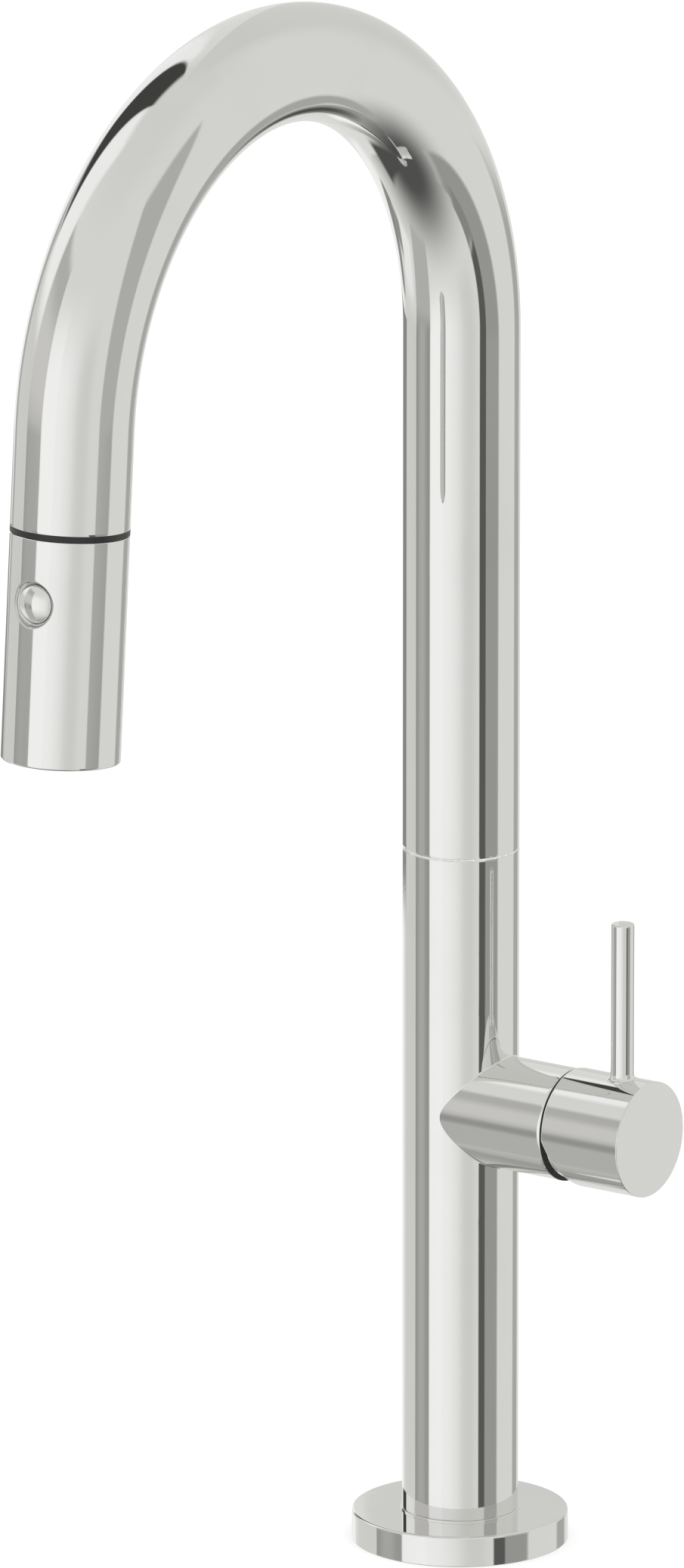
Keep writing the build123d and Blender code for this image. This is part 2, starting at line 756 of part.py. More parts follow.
def spray_face():
    top = face_end - face_t
    body = ring(head_bore_r - seat_gap, aerator_r + seat_gap, top, face_end)
    body += ring(head_bore_r - seat_gap, head_bore_r - 1.2, core_end, top)
    for ring_r, count in nozzle_rings:
        for i in range(count):
            hole = Rot(0, 0, 360 * i / count) * Pos(ring_r, 0, 0) * rod(nozzle_r + 0.1, top, face_end)
            body -= hole
    return outlet * body


def nozzle_mat():
    top = face_end - face_t - mat_t
    outer_r = head_bore_r - 1.2 - 2 * seat_gap
    body = ring(outer_r, aerator_r + seat_gap, top, face_end - face_t)
    for ring_r, count in nozzle_rings:
        for i in range(count):
            place = Rot(0, 0, 360 * i / count) * Pos(ring_r, 0, 0)
            body += place * rod(nozzle_r, face_end - face_t - 0.5, face_end + nozzle_out)
    for ring_r, count in nozzle_rings:
        for i in range(count):
            place = Rot(0, 0, 360 * i / count) * Pos(ring_r, 0, 0)
            body -= place * rod(0.4, top, face_end + nozzle_out)
    return outlet * body


def aerator_housing():
    inner_r = aerator_r - aerator_wall
    body = turned(
        (core_way_r, core_end), (aerator_r, core_end), (aerator_r, face_end), (inner_r, face_end),
        (inner_r, core_end + 1.2), (core_way_r, core_end + 1.2),
    )
    return outlet * body


def aerator_screens():
    r = aerator_r - aerator_wall - seat_gap
    across = 2 * int(r / screen_pitch) + 1
    screens = []
    for low, hole_r in ((core_end + 1.2, 0.5), (face_end - 2.4, 0.45), (face_end - 1.2, 0.45)):
        disc = rod(r, low, low + (2 * screen_t if low == core_end + 1.2 else screen_t))
        cells = GridLocations(screen_pitch, screen_pitch, across, across)
        holes = [cell * rod(hole_r, low, low + 1) for cell in cells if reach_of(cell) < r - 1]
        screens.append(disc - holes)
    return outlet * Compound(children=screens)


def reach_of(place):
    """How far a place lies from the axis."""
    return hypot(place.position.X, place.position.Y)


def button_bezel():
    body = ring(button_hole_r - seat_gap, button_r + button_gap, bezel_low, bezel_high)
    return outlet * button_axis * body


# ---- spray button


def button_cap():
    sphere_r = (button_r**2 + button_dome**2) / (2 * button_dome)
    top = button_edge + button_dome
    dome = Pos(0, 0, top - sphere_r) * Sphere(sphere_r) & rod(button_r, button_edge - 1, top)
    body = rod(button_r, button_low, button_edge) + dome
    body += rod(button_skirt_r, button_low, button_low + button_skirt_t)
    return outlet * button_axis * (body - rod(plunger_r + seat_gap, button_low, button_low + 2))


def diverter_plunger():
    body = rod(plunger_r, plunger_end, button_low + 2)
    body += rod(plunger_land_r, plunger_end, plunger_end + 2)
    body += rod(plunger_land_r, plunger_end + 7, plunger_end + 10)
    at = plunger_end + 8.5
    body -= ring(plunger_land_r + 1, plunger_land_r - 0.8, at - 0.6, at + 0.6)
    return outlet * button_axis * body


def plunger_o_ring():
    at = plunger_end + 8.5
    outer_r = plunger_land_r + turn_gap / 2
    return outlet * button_axis * ring(outer_r, plunger_land_r - 0.78, at - 0.55, at + 0.55)


def button_spring():
    height = button_low - spring_seat - 2 * spring_wire_r - 0.04
    coil = Helix(height / spring_turns, height, spring_coil_r)
    section = Plane(origin=coil @ 0, z_dir=coil % 0) * Circle(spring_wire_r)
    wire = sweep(section, coil, is_frenet=True)
    return outlet * button_axis * Pos(0, 0, spring_seat + spring_wire_r + 0.02) * wire


nodes = {
    "base_flange": base_flange(),
    "flange_gasket": flange_gasket(),
    "deck_shank": deck_shank(),
    "lower_body": lower_body(),
    "swivel_washer": swivel_washer(),
    "upper_swivel_bush": swivel_bush(body_top_z - upper_bush_drop - bush_l),
    "lower_swivel_bush": swivel_bush(spigot_low_z + lower_bush_lift),
    "spout_retaining_screw": spout_retaining_screw(),
    "spray_hose_lower": spray_hose_lower(),
    "hose_quick_plug": hose_quick_plug(),
    "cartridge_housing": cartridge_housing(),
    "cartridge_base_seals": cartridge_base_seals(),
    "fixed_ceramic_disc": fixed_ceramic_disc(),
    "cartridge_nut": cartridge_nut(),
    "carrier_snap_ring": carrier_snap_ring(),
    "handle_dome": handle_dome(),
    "dome_o_ring": dome_o_ring(),
    "stem_carrier": stem_carrier(),
    "stem_pivot_pin": stem_pivot_pin(),
    "carrier_o_ring": carrier_o_ring(),
    "moving_ceramic_disc": moving_ceramic_disc(),
    "disc_driver": disc_driver(),
    "mixer_stem": mixer_stem(),
    "handle_cap": handle_cap(),
    "lever_pin": lever_pin(),
    "handle_set_screw": handle_set_screw(),
    "handle_screw_plug": handle_screw_plug(),
    "spout_tube": along_spout(column_r, spout_bore_r, spout_low_z, drop_l),
    "swivel_spigot": swivel_spigot(),
    "swivel_o_ring": swivel_o_ring(),
    "dock_collar": dock_collar(),
    "dock_magnet": dock_magnet(),
    "hose_guide_bush": hose_guide_bush(),
    "spray_hose_upper": along_spout(hose_r, hose_bore_r, body_top_z + face_gap, 0),
    "hose_end_section": hose_end_section(),
    "hose_ferrule": hose_ferrule(),
    "hose_end_fitting": hose_end_fitting(),
    "fitting_o_ring": fitting_o_ring(),
    "check_valve": check_valve(),
    "spray_shell": spray_shell(),
    "spray_neck": spray_neck(),
    "docking_armature": docking_armature(),
    "spray_core": spray_core(),
    "core_seal_ring": core_seal_ring(),
    "spray_face": spray_face(),
    "nozzle_mat": nozzle_mat(),
    "aerator_housing": aerator_housing(),
    "aerator_screens": aerator_screens(),
    "button_bezel": button_bezel(),
    "button_cap": button_cap(),
    "diverter_plunger": diverter_plunger(),
    "plunger_o_ring": plunger_o_ring(),
    "button_spring": button_spring(),
}

os.makedirs("parts", exist_ok=True)
for name, shape in nodes.items():
    export_step(shape, f"parts/{name}.step")
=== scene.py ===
import json
import math

import bpy
import numpy as np
from mathutils import Matrix, Vector


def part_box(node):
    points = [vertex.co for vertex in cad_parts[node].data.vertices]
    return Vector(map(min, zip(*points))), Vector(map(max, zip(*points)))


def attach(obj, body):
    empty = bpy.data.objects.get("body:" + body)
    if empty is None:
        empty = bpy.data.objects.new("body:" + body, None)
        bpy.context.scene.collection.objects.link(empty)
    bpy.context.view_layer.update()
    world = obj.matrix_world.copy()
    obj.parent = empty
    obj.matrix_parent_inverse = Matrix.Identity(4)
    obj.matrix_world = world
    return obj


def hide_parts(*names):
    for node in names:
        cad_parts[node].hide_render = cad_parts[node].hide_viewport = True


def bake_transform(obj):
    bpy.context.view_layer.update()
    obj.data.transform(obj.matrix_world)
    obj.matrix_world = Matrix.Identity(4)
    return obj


bl_info = {
    "name": "Pull-Down Kitchen Faucet",
    "version": (1, 0, 0),
    "blender": (4, 5, 0),
    "location": "3D View > Sidebar > Faucet",
    "description": "Models and finishes a pull-down kitchen faucet around its CAD frame",
    "category": "Object",
}

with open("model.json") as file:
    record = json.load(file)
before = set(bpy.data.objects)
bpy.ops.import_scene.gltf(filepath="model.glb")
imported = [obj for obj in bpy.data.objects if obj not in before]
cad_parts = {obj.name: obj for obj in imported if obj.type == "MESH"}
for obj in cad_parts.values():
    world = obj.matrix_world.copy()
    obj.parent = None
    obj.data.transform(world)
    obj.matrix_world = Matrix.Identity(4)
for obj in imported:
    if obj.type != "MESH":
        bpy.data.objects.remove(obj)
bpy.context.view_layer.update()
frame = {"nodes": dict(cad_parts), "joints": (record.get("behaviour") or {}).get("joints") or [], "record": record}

MM = 0.001
AROUND = 240  # facets round the handle and other large turned pieces
RING = 160  # facets round the spout and the rings
FINE, MEDIUM, SMALL = 128, 96, 64  # facets round the smaller turned pieces
ARC = 6  # facets in a rounded edge
FACET = 1.5  # degrees in each facet of a barrel's wall
SUPPORT = 0.05 * MM  # width of the narrow faces that keep large faces flat beside a rounded edge
PLAY = 0.02 * MM  # room between pieces that fit in each other
SWEPT = 35  # degrees over which an edge of a swept piece stays sharp

NODE_SLOTS = {row["node"]: row["material_slot"] for row in frame["record"]["subparts"]}


def low(node):
    """Lowest corner of a CAD node."""
    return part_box(node)[0]


def high(node):
    """Highest corner of a CAD node."""
    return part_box(node)[1]


def spaced(start, end, steps):
    """Evenly spaced numbers with both ends."""
    return [start + (end - start) * k / steps for k in range(steps + 1)]


def centre(span):
    """The middle of a near and a far end."""
    return (span[0] + span[1]) / 2


def half(span):
    """Half of the way from a near to a far end."""
    return (span[1] - span[0]) / 2


# Shared sizes, from the frame
COLUMN_R = high("spout_tube").x
FOOT_Z = low("lower_body").z
SEAM_Z = high("lower_body").z
HANDLE = Vector(next(joint["pos_m"] for joint in frame["joints"] if joint["name"] == "handle_temperature"))
BOSS_END = high("lower_body").x
CAP_R = high("handle_cap").y
CAP_END = high("handle_cap").x
QUARTER = spaced(0, math.pi / 2, 8)


# ---- settings


def length(name, about, millimetres):
    """A length that a user may change."""
    return bpy.props.FloatProperty(
        name=name, description=about, default=millimetres * MM, subtype="DISTANCE", unit="LENGTH", precision=5
    )


def angle(name, about, degrees):
    """An angle that a user may change."""
    return bpy.props.FloatProperty(
        name=name, description=about, default=math.radians(degrees), subtype="ANGLE", unit="ROTATION"
    )


def tint(name, about, default):
    """A colour that a user may change."""
    return bpy.props.FloatVectorProperty(
        name=name, description=about, default=default, subtype="COLOR", size=3, min=0, max=1
    )


class FaucetSizes(bpy.types.PropertyGroup):
    """Sizes of the visible shapes that the frame leaves open."""

    bend_radius: length("Bend radius", "Radius of the spout's centreline in its bend", 96.7)
    bend_angle: angle("Bend angle", "Turn of the spout's bend", 175.76)
    tube_wall: length("Tube wall", "Wall of the spout's tube", 1.5)
    body_wall: length("Body wall", "Wall of the lower column and its boss", 2)
    boss_radius: length("Boss radius", "Radius of the boss that carries the handle", 16.95)
    junction: length("Junction fillet", "Radius where the boss meets the column", 0.45)
    seam_edge: length("Seam edge", "Rounding of the rims at the swivel seam", 0.13)
    flange_edge: length("Flange edge", "Rounding of the deck flange's upper edge", 0.8)
    thread_pitch: length("Thread pitch", "Pitch of the thread on the deck shank", 1.5)
    thread_depth: length("Thread depth", "Depth of the thread on the deck shank", 0.9)
    cap_front_edge: length("Cap front edge", "Rounding of the handle's outer edge", 0.25)
    cap_rear_edge: length("Cap rear edge", "Rounding of the handle's edge at the gap", 0.8)
    cap_relief: angle("Cap relief", "Slant of the handle's lower rear, for room to tilt", 23.5)
    lever_radius: length("Lever radius", "Radius of the lever", 3.5)
    lever_flare: length("Lever flare", "Widening at the lever's foot", 1.3)
    lever_edge: length("Lever edge", "Rounding of the lever's top", 0.5)
    head_edge: length("Head edge", "Rounding of the spray head's lower edge", 0.7)
    button_chamfer: length("Button recess chamfer", "Width of the chamfer round the button", 0.45)
    hose_radius: length("Hose radius", "Outer radius of the spray hose", 6)


class FaucetColours(bpy.types.PropertyGroup):
    """Base colours of the finishes."""

    nickel: tint("Polished nickel", "Polished, faintly warm nickel plate", (0.805, 0.806, 0.795))
    brass: tint("Brass", "Machined brass", (0.78, 0.60, 0.32))
    steel: tint("Steel", "Bright stainless steel", (0.62, 0.62, 0.61))
    magnet: tint("Magnet", "Nickel-plated magnet", (0.55, 0.55, 0.54))
    black: tint("Black plastic", "Satin black moulded plastic", (0.012, 0.012, 0.013))
    white: tint("White plastic", "White low-friction plastic", (0.74, 0.74, 0.71))
    grey: tint("Grey plastic", "Grey moulded plastic", (0.32, 0.33, 0.34))
    dark: tint("Dark plastic", "Dark grey moulded plastic", (0.06, 0.06, 0.065))
    rubber: tint("Rubber", "Black seal rubber", (0.02, 0.02, 0.02))
    silicone: tint("Silicone", "Soft grey nozzle silicone", (0.30, 0.31, 0.32))
    ceramic: tint("Ceramic", "White valve ceramic", (0.86, 0.85, 0.82))
    braid: tint("Hose braid", "Grey nylon braid", (0.30, 0.31, 0.33))


class FaucetStudio(bpy.types.PropertyGroup):
    """The camera's place and the studio's light."""

    camera_place: bpy.props.FloatVectorProperty(
        name="Camera place", description="Where the camera stands", default=(3.3173, -4.6705, 1.7455),
        subtype="TRANSLATION", unit="LENGTH",
    )
    camera_turn: angle("Camera turn", "Camera's direction round the faucet", 35.74)
    camera_dip: angle("Camera dip", "Camera's angle below the horizon", 14.78)
    lens: bpy.props.FloatProperty(name="Lens", description="Focal length in millimetres", default=456.26)
    field: bpy.props.FloatProperty(
        name="Field", description="Level of the room round the faucet", default=0.80
    )
    floor: tint("Floor", "Pale floor", (0.66, 0.66, 0.66))


# ---- modelling helpers


def start_clean():
    """Leaves edit mode and deselects everything."""
    if bpy.context.object and bpy.context.object.mode != "OBJECT":
        bpy.ops.object.mode_set(mode="OBJECT")
    bpy.ops.object.select_all(action="DESELECT")


def pick(*pieces):
    """Selects these objects alone, the first as the active one."""
    start_clean()
    for piece in pieces:
        piece.select_set(True)
    bpy.context.view_layer.objects.active = pieces[0]


def edit(piece):
    """Opens a piece in edit mode with all of it selected."""
    pick(piece)
    bpy.ops.object.mode_set(mode="EDIT")
    bpy.ops.mesh.select_all(action="SELECT")


def closed(piece):
    """Merges a piece's doubles and turns all its faces outwards."""
    edit(piece)
    bpy.ops.mesh.remove_doubles(threshold=1e-6)
    bpy.ops.mesh.normals_make_consistent(inside=False)
    bpy.ops.object.mode_set(mode="OBJECT")
    return piece


def named(name):
    """Gives the active object and its mesh a name."""
    piece = bpy.context.object
    piece.name = piece.data.name = name
    return piece


def apply_modifier(piece, kind, **settings):
    """Adds a modifier with these settings and applies it."""
    pick(piece)
    bpy.ops.object.modifier_add(type=kind)
    modifier = piece.modifiers[-1]
    for name, value in settings.items():
        setattr(modifier, name, value)
    bpy.ops.object.modifier_apply(modifier=modifier.name)


def softened(profile):
    """The outline of (radius, height, rounding) corners, with each rounding as an arc."""
    corners = [(Vector((c[0], 0, c[1])), c[2] if len(c) > 2 else 0) for c in profile]
    points = []
    for i, (corner, rounding) in enumerate(corners):
        if not rounding:
            points.append(corner)
            continue
        before = (corners[i - 1][0] - corner).normalized()
        after = (corners[(i + 1) % len(corners)][0] - corner).normalized()
        half = before.angle(after) / 2
        middle = (before + after).normalized() / math.sin(half)
        start, end = before / math.tan(half) - middle, after / math.tan(half) - middle
        points += [corner + rounding * (middle + start.slerp(end, k / ARC)) for k in range(ARC + 1)]
    return points


def draw(name, points):
    """A wire through the points, extruded one vertex after another."""
    start_clean()
    bpy.ops.mesh.primitive_circle_add(vertices=3, radius=MM)
    piece = named(name)
    edit(piece)
    bpy.ops.mesh.merge(type="CENTER")
    bpy.ops.transform.translate(value=points[0])
    for last, point in zip(points, points[1:]):
        bpy.ops.mesh.extrude_region_move(TRANSFORM_OT_translate={"value": point - last})
    return piece


def turn(name, profile, place=None, around=AROUND):
    """A piece turned about Z from (radius, height, rounding) corners, then put in its place."""
    points = softened(profile)
    if profile[0][0] or profile[-1][0]:
        points.append(points[0])
    piece = draw(name, points)
    bpy.ops.mesh.select_all(action="SELECT")
    bpy.ops.mesh.spin(steps=around, angle=2 * math.pi, center=(0, 0, 0), axis=(0, 0, 1))
    closed(piece)
    if place:
        put(piece, place)
    return piece


def put(piece, place):
    """Moves a piece to its place and applies the move, so that its object stays at the origin."""
    piece.matrix_world = place
    pick(piece)
    bpy.ops.object.transform_apply(location=True, rotation=True, scale=True)


def skin(name, sheets):
    """One piece from sheets of points: each is a grid primitive shaped to its rows, and all are joined."""
    made = []
    for sheet in sheets:
        rows = np.asarray(sheet, float)
        start_clean()
        bpy.ops.mesh.primitive_grid_add(x_subdivisions=rows.shape[1] - 1, y_subdivisions=rows.shape[0] - 1)
        grid = bpy.context.object
        grid.data.vertices.foreach_set("co", rows.reshape(-1))
        made.append(grid)
    pick(*made)
    if len(made) > 1:
        bpy.ops.object.join()
    return closed(named(name))


def walled(piece, thickness, **more):
    """Gives a sheet its wall, on the inner side."""
    apply_modifier(piece, "SOLIDIFY", thickness=thickness, offset=-1, **more)


def rims_rounded(piece, width, **more):
    """Rounds the rims of a wall."""
    apply_modifier(
        piece, "BEVEL", width=width, segments=3, limit_method="ANGLE", angle_limit=math.radians(60), **more
    )


def tube(name, route, radius, steps, facets):
    """A round bar with closed ends that follows a smooth route through its points."""
    start_clean()
    bpy.ops.curve.primitive_nurbs_path_add()
    curve = bpy.context.object.data
    curve.splines.clear()
    spline = curve.splines.new("NURBS")
    spline.points.add(len(route) - 1)
    for point, place in zip(spline.points, route):
        point.co = (*place, 1)
    spline.order_u = 3
    spline.use_endpoint_u = True
    curve.resolution_u = steps
    curve.bevel_depth = radius
    curve.bevel_resolution = facets
    curve.use_fill_caps = True
    bpy.ops.object.convert(target="MESH")
    return closed(named(name))


def fit(piece, body, *nodes, slot=None, sharp=None):
    """Finishes a piece: its shading, its slot's material and the body it rides, and it hides the CAD nodes that it
    stands for.

    A piece that stretches is given two bodies, and where it leaves the first and joins the second, but it is only
    baked where it lies and rides neither.
    Swept pieces are given the angle over which an edge stays sharp. On turned ones the large faces lead.
    """
    slot = slot or NODE_SLOTS[nodes[0]]
    pick(piece)
    bpy.ops.object.shade_smooth_by_angle(angle=math.radians(sharp or 30))
    if sharp is None:
        apply_modifier(piece, "WEIGHTED_NORMAL", keep_sharp=True, weight=50)
    piece.data.materials.clear()
    piece.data.materials.append(bpy.data.materials[slot + "_finish"])
    if isinstance(body, str):
        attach(piece, body)
    else:
        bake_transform(piece)
    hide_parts(*nodes)


def frame_at(origin, along, across=(1, 0, 0)):
    """A place with Z along one direction and X along another."""
    z = Vector(along).normalized()
    x = Vector(across).normalized()
    y = z.cross(x)
    turned = Matrix((x, y, z)).transposed().to_4x4()
    return Matrix.Translation(origin) @ turned


def valve_place():
    """Z along the handle's axis from the column's axis, Y up."""
    return frame_at((0, 0, HANDLE.z), (1, 0, 0), (0, 1, 0))


def bend_height(sizes):
    """Where the spout starts to bend."""
    return high("spout_tube").z - COLUMN_R - sizes.bend_radius


def outlet_place(sizes):
    """Z along the outlet from the end of the bend, Y to the front."""
    r, turned = sizes.bend_radius, sizes.bend_angle
    end = (0, r * (math.cos(turned) - 1), bend_height(sizes) + r * math.sin(turned))
    return frame_at(end, (0, -math.sin(turned), math.cos(turned)))


def along_outlet(sizes, node, axis=2):
    """How far a CAD node reaches along the outlet from the end of the bend, near and far."""
    way = outlet_place(sizes).inverted()
    points = [v.co for v in frame["nodes"][node].data.vertices if v.co.y < -sizes.bend_radius]
    places = [(way @ point)[axis] for point in points]
    return min(places), max(places)


def out_of_head(sizes, node):
    """How far a CAD node reaches out of the spray head along the button's axis, near and far."""
    return along_outlet(sizes, node, axis=1)


def button_place(sizes):
    """Z out of the spray head along the button's axis."""
    return outlet_place(sizes) @ frame_at((0, 0, centre(along_outlet(sizes, "button_cap"))), (0, 1, 0))


# ---- node helpers


def feed(tree, socket, value):
    """Links a node's output to a socket, or sets the socket to a value."""
    if isinstance(value, bpy.types.NodeSocket):
        tree.links.new(value, socket)
    elif value is not None:
        socket.default_value = value


def add(tree, kind, *inputs, **settings):
    """A node with its settings, and its inputs linked or set in order."""
    made = tree.nodes.new(kind)
    for name, value in settings.items():
        setattr(made, name, value)
    for socket, value in zip(made.inputs, inputs):
        feed(tree, socket, value)
    return made


def maths(tree, operation, *inputs):
    """The output of a Math node."""
    return add(tree, "ShaderNodeMath", *inputs, operation=operation).outputs[0]


def product(tree, first, second):
    """The output of a Math node that multiplies."""
    return maths(tree, "MULTIPLY", first, second)


def mixed(tree, share, first, second):
    """Two colours mixed by a share."""
    made = add(tree, "ShaderNodeMix", share, data_type="RGBA")
    for index, value in ((6, first), (7, second)):
        feed(tree, made.inputs[index], (*value, 1) if isinstance(value, tuple) else value)
    return made.outputs[2]


def ramped(tree, value, start, end):
    """A value mapped smoothly from one range to 0 to 1."""
    made = add(tree, "ShaderNodeMapRange", value, start, end, 0.0, 1.0, interpolation_type="SMOOTHSTEP")
    return made.outputs[0]


def noise(tree, place, scale, detail, rough=0.5):
    """The output of a Noise Texture node."""
    return add(tree, "ShaderNodeTexNoise", place, None, scale, detail, rough).outputs[0]


def levelled(colour, level):
    """A colour made darker or lighter."""
    return tuple(level * part for part in colour)


def paler(colour, level, more=0.0):
    """A colour made lighter, and at most white."""
    return tuple(min(1.0, part * level + more) for part in colour)


def new_group(name, inputs, outputs):
    """An empty shader node group, with its input and output nodes."""
    group = bpy.data.node_groups.new(name, "ShaderNodeTree")
    for label, kind, default in inputs:
        socket = group.interface.new_socket(name=label, in_out="INPUT", socket_type=kind)
        if default is not None:
            socket.default_value = default
    for label, kind in outputs:
        group.interface.new_socket(name=label, in_out="OUTPUT", socket_type=kind)
    return group, group.nodes.new("NodeGroupInput"), group.nodes.new("NodeGroupOutput")


VALUE, VECTOR = "NodeSocketFloat", "NodeSocketVector"


def pattern(name, scale, *outputs, label="Scale"):
    """An empty node group of a pattern. Gives the group, its place, its scale and its output node."""
    group, given, out = new_group(
        name, [("Place", VECTOR, None), (label, VALUE, scale)], [(output, VALUE) for output in outputs]
    )
    return group, given.outputs[0], given.outputs[1], out


def make_scratches():
    """Hair-fine polishing lines in three directions. Out: their height."""
    group, place, fineness, out = pattern("Polishing lines", 900.0, "Height", label="Fineness")
    lines = []
    for stretch in ((1, 1, 0.04), (0.05, 1, 1), (1, 0.05, 1)):
        scaled = add(group, "ShaderNodeVectorMath", place, stretch, operation="MULTIPLY").outputs[0]
        lines.append(ramped(group, noise(group, scaled, fineness, 2.0), 0.62, 0.78))
    feed(group, out.inputs[0], maths(group, "ADD", maths(group, "ADD", *lines[:2]), lines[2]))


def make_smudges():
    """Broad soft patches of handling haze. Out: their mask."""
    group, place, scale, out = pattern("Handling haze", 28.0, "Mask")
    feed(group, out.inputs[0], ramped(group, noise(group, place, scale, 4.0, 0.55), 0.46, 0.74))


def make_wear():
    """Wear along the edges. Out: its mask."""
    group, place, scale, out = pattern("Edge wear", 700.0, "Mask")
    edge = ramped(group, add(group, "ShaderNodeNewGeometry").outputs["Pointiness"], 0.53, 0.62)
    patches = ramped(group, noise(group, place, scale, 3.0), 0.35, 0.65)
    feed(group, out.inputs[0], product(group, edge, patches))


def make_grain():
    """Fine moulded grain. Out: its height."""
    group, place, scale, out = pattern("Moulded grain", 2600.0, "Height")
    cells = add(group, "ShaderNodeTexVoronoi", place, None, scale).outputs[0]
    feed(group, out.inputs[0], maths(group, "ADD", noise(group, place, scale, 2.0), cells))


def make_braid():
    """Crossing strands of a braided hose. Out: their height and a strand mask."""
    group, place, scale, out = pattern("Braid", 420.0, "Height", "Strand")
    strands = []
    for slant in ((1.0, 0.6, 1.0), (-1.0, -0.6, 1.0)):
        along = add(group, "ShaderNodeVectorMath", place, slant, operation="MULTIPLY").outputs[0]
        wave = add(
            group, "ShaderNodeTexWave", along, scale, 0.0, wave_type="BANDS", bands_direction="DIAGONAL",
            wave_profile="SIN",
        )
        strands.append(wave.outputs["Fac"])
    feed(group, out.inputs[0], maths(group, "MAXIMUM", *strands))
    feed(group, out.inputs[1], product(group, *strands))


def make_turning():
    """Fine tool rings of a turned part. Out: their height."""
    group, place, scale, out = pattern("Turning rings", 1500.0, "Height")
    wave = add(
        group, "ShaderNodeTexWave", place, scale, 2.0, 2.0, wave_type="BANDS", bands_direction="Z",
        wave_profile="SAW",
    )
    feed(group, out.inputs[0], wave.outputs["Fac"])


def grouped(tree, name, *inputs):
    """A placed node group."""
    return add(tree, "ShaderNodeGroup", *inputs, node_tree=bpy.data.node_groups[name])


def new_material(name):
    """A material with an empty Principled shader. Gives its tree, the shader's inputs and object place."""
    material = bpy.data.materials.new(name + "_finish")
    material.use_nodes = True
    tree = material.node_tree
    tree.nodes.clear()
    shader = add(tree, "ShaderNodeBsdfPrincipled")
    add(tree, "ShaderNodeOutputMaterial", shader.outputs[0])
    return tree, shader.inputs, add(tree, "ShaderNodeTexCoord").outputs["Object"]


def bumped(tree, shader, height, depth):
    """Height that feeds the shader's normal. Depth is in metres."""
    bump = add(tree, "ShaderNodeBump", 1.0, depth)
    feed(tree, bump.inputs["Height"], height)
    feed(tree, shader["Normal"], bump.outputs[0])


HAZE = 0.35  # share of the gloss and colour of a metal that handling haze changes
RING_DEPTH, LINE_DEPTH, BRAID_DEPTH = 0.004 * MM, 0.0006 * MM, 0.25 * MM


def metal(name, colour, rough, lines=0.15, turned=False):
    """A plated or machined metal: haze and fine lines in its gloss, wear on its edges."""
    tree, shader, place = new_material(name)
    smudge = grouped(tree, "Handling haze", place).outputs[0]
    wear = grouped(tree, "Edge wear", place).outputs[0]
    height = grouped(tree, "Turning rings" if turned else "Polishing lines", place).outputs[0]
    base = mixed(tree, product(tree, smudge, HAZE), colour, levelled(colour, 0.93))
    feed(tree, shader["Base Color"], mixed(tree, product(tree, wear, 0.6), base, paler(colour, 1.06)))
    gloss = rough
    for mask, share in ((smudge, HAZE), (height, lines), (wear, 1)):
        gloss = maths(tree, "MULTIPLY_ADD", mask, rough * share, gloss)
    feed(tree, shader["Roughness"], gloss)
    shader["Metallic"].default_value = 1.0
    bumped(tree, shader, height, RING_DEPTH if turned else LINE_DEPTH)


def moulded(name, colour, rough, grain=0.01, pale=1.35):
    """A moulded plastic, rubber or ceramic: fine grain, uneven gloss and paler edges."""
    tree, shader, place = new_material(name)
    smudge = grouped(tree, "Handling haze", place, 60.0).outputs[0]
    wear = grouped(tree, "Edge wear", place).outputs[0]
    base = mixed(tree, product(tree, smudge, 0.5), colour, paler(colour, pale, 0.004))
    feed(tree, shader["Base Color"], mixed(tree, wear, base, paler(colour, 1.6, 0.02)))
    feed(tree, shader["Roughness"], maths(tree, "MULTIPLY_ADD", smudge, 0.12, rough))
    bumped(tree, shader, grouped(tree, "Moulded grain", place).outputs[0], grain * MM)


def braided(name, colour):
    """A braided hose: crossing strands, darker between them."""
    tree, shader, place = new_material(name)
    height, strand = grouped(tree, "Braid", place).outputs
    feed(tree, shader["Base Color"], mixed(tree, height, levelled(colour, 0.35), colour))
    feed(tree, shader["Roughness"], maths(tree, "MULTIPLY_ADD", strand, -0.15, 0.5))
    shader["Metallic"].default_value = 0.35
    bumped(tree, shader, height, BRAID_DEPTH)


# ---- operators


class FAUCET_OT_finishes(bpy.types.Operator):
    """Makes the finishes and gives them to the CAD nodes"""

    bl_idname = "faucet.finishes"
    bl_label = "Finishes"

    def execute(self, context):
        for make in (make_scratches, make_smudges, make_wear, make_grain, make_braid, make_turning):
            make()
        chosen = context.scene.faucet_colours
        colours = {name: tuple(getattr(chosen, name)) for name in FaucetColours.__annotations__}
        metal("polished_nickel", colours["nickel"], 0.022)
        metal("plated_brass", levelled(colours["nickel"], 0.93), 0.12, turned=True)
        metal("brass", colours["brass"], 0.22, turned=True)
        metal("stainless_steel", colours["steel"], 0.2, lines=0.5)
        metal("magnet_nickel", colours["magnet"], 0.18)
        for name, rough in (("black", 0.36), ("white", 0.4), ("grey", 0.42), ("dark", 0.4)):
            moulded(name + "_plastic", colours[name], rough)
        moulded("seal_rubber", colours["rubber"], 0.6, grain=0.02)
        moulded("nozzle_silicone", colours["silicone"], 0.5, grain=0.015)
        moulded("ceramic", colours["ceramic"], 0.15, grain=0.002, pale=1.05)
        braided("braided_hose", colours["braid"])
        for name, node in frame["nodes"].items():
            finish = bpy.data.materials[NODE_SLOTS[name] + "_finish"]
            for slot in node.material_slots:
                slot.material = finish
            if not node.material_slots:
                node.data.materials.append(finish)
        return {"FINISHED"}


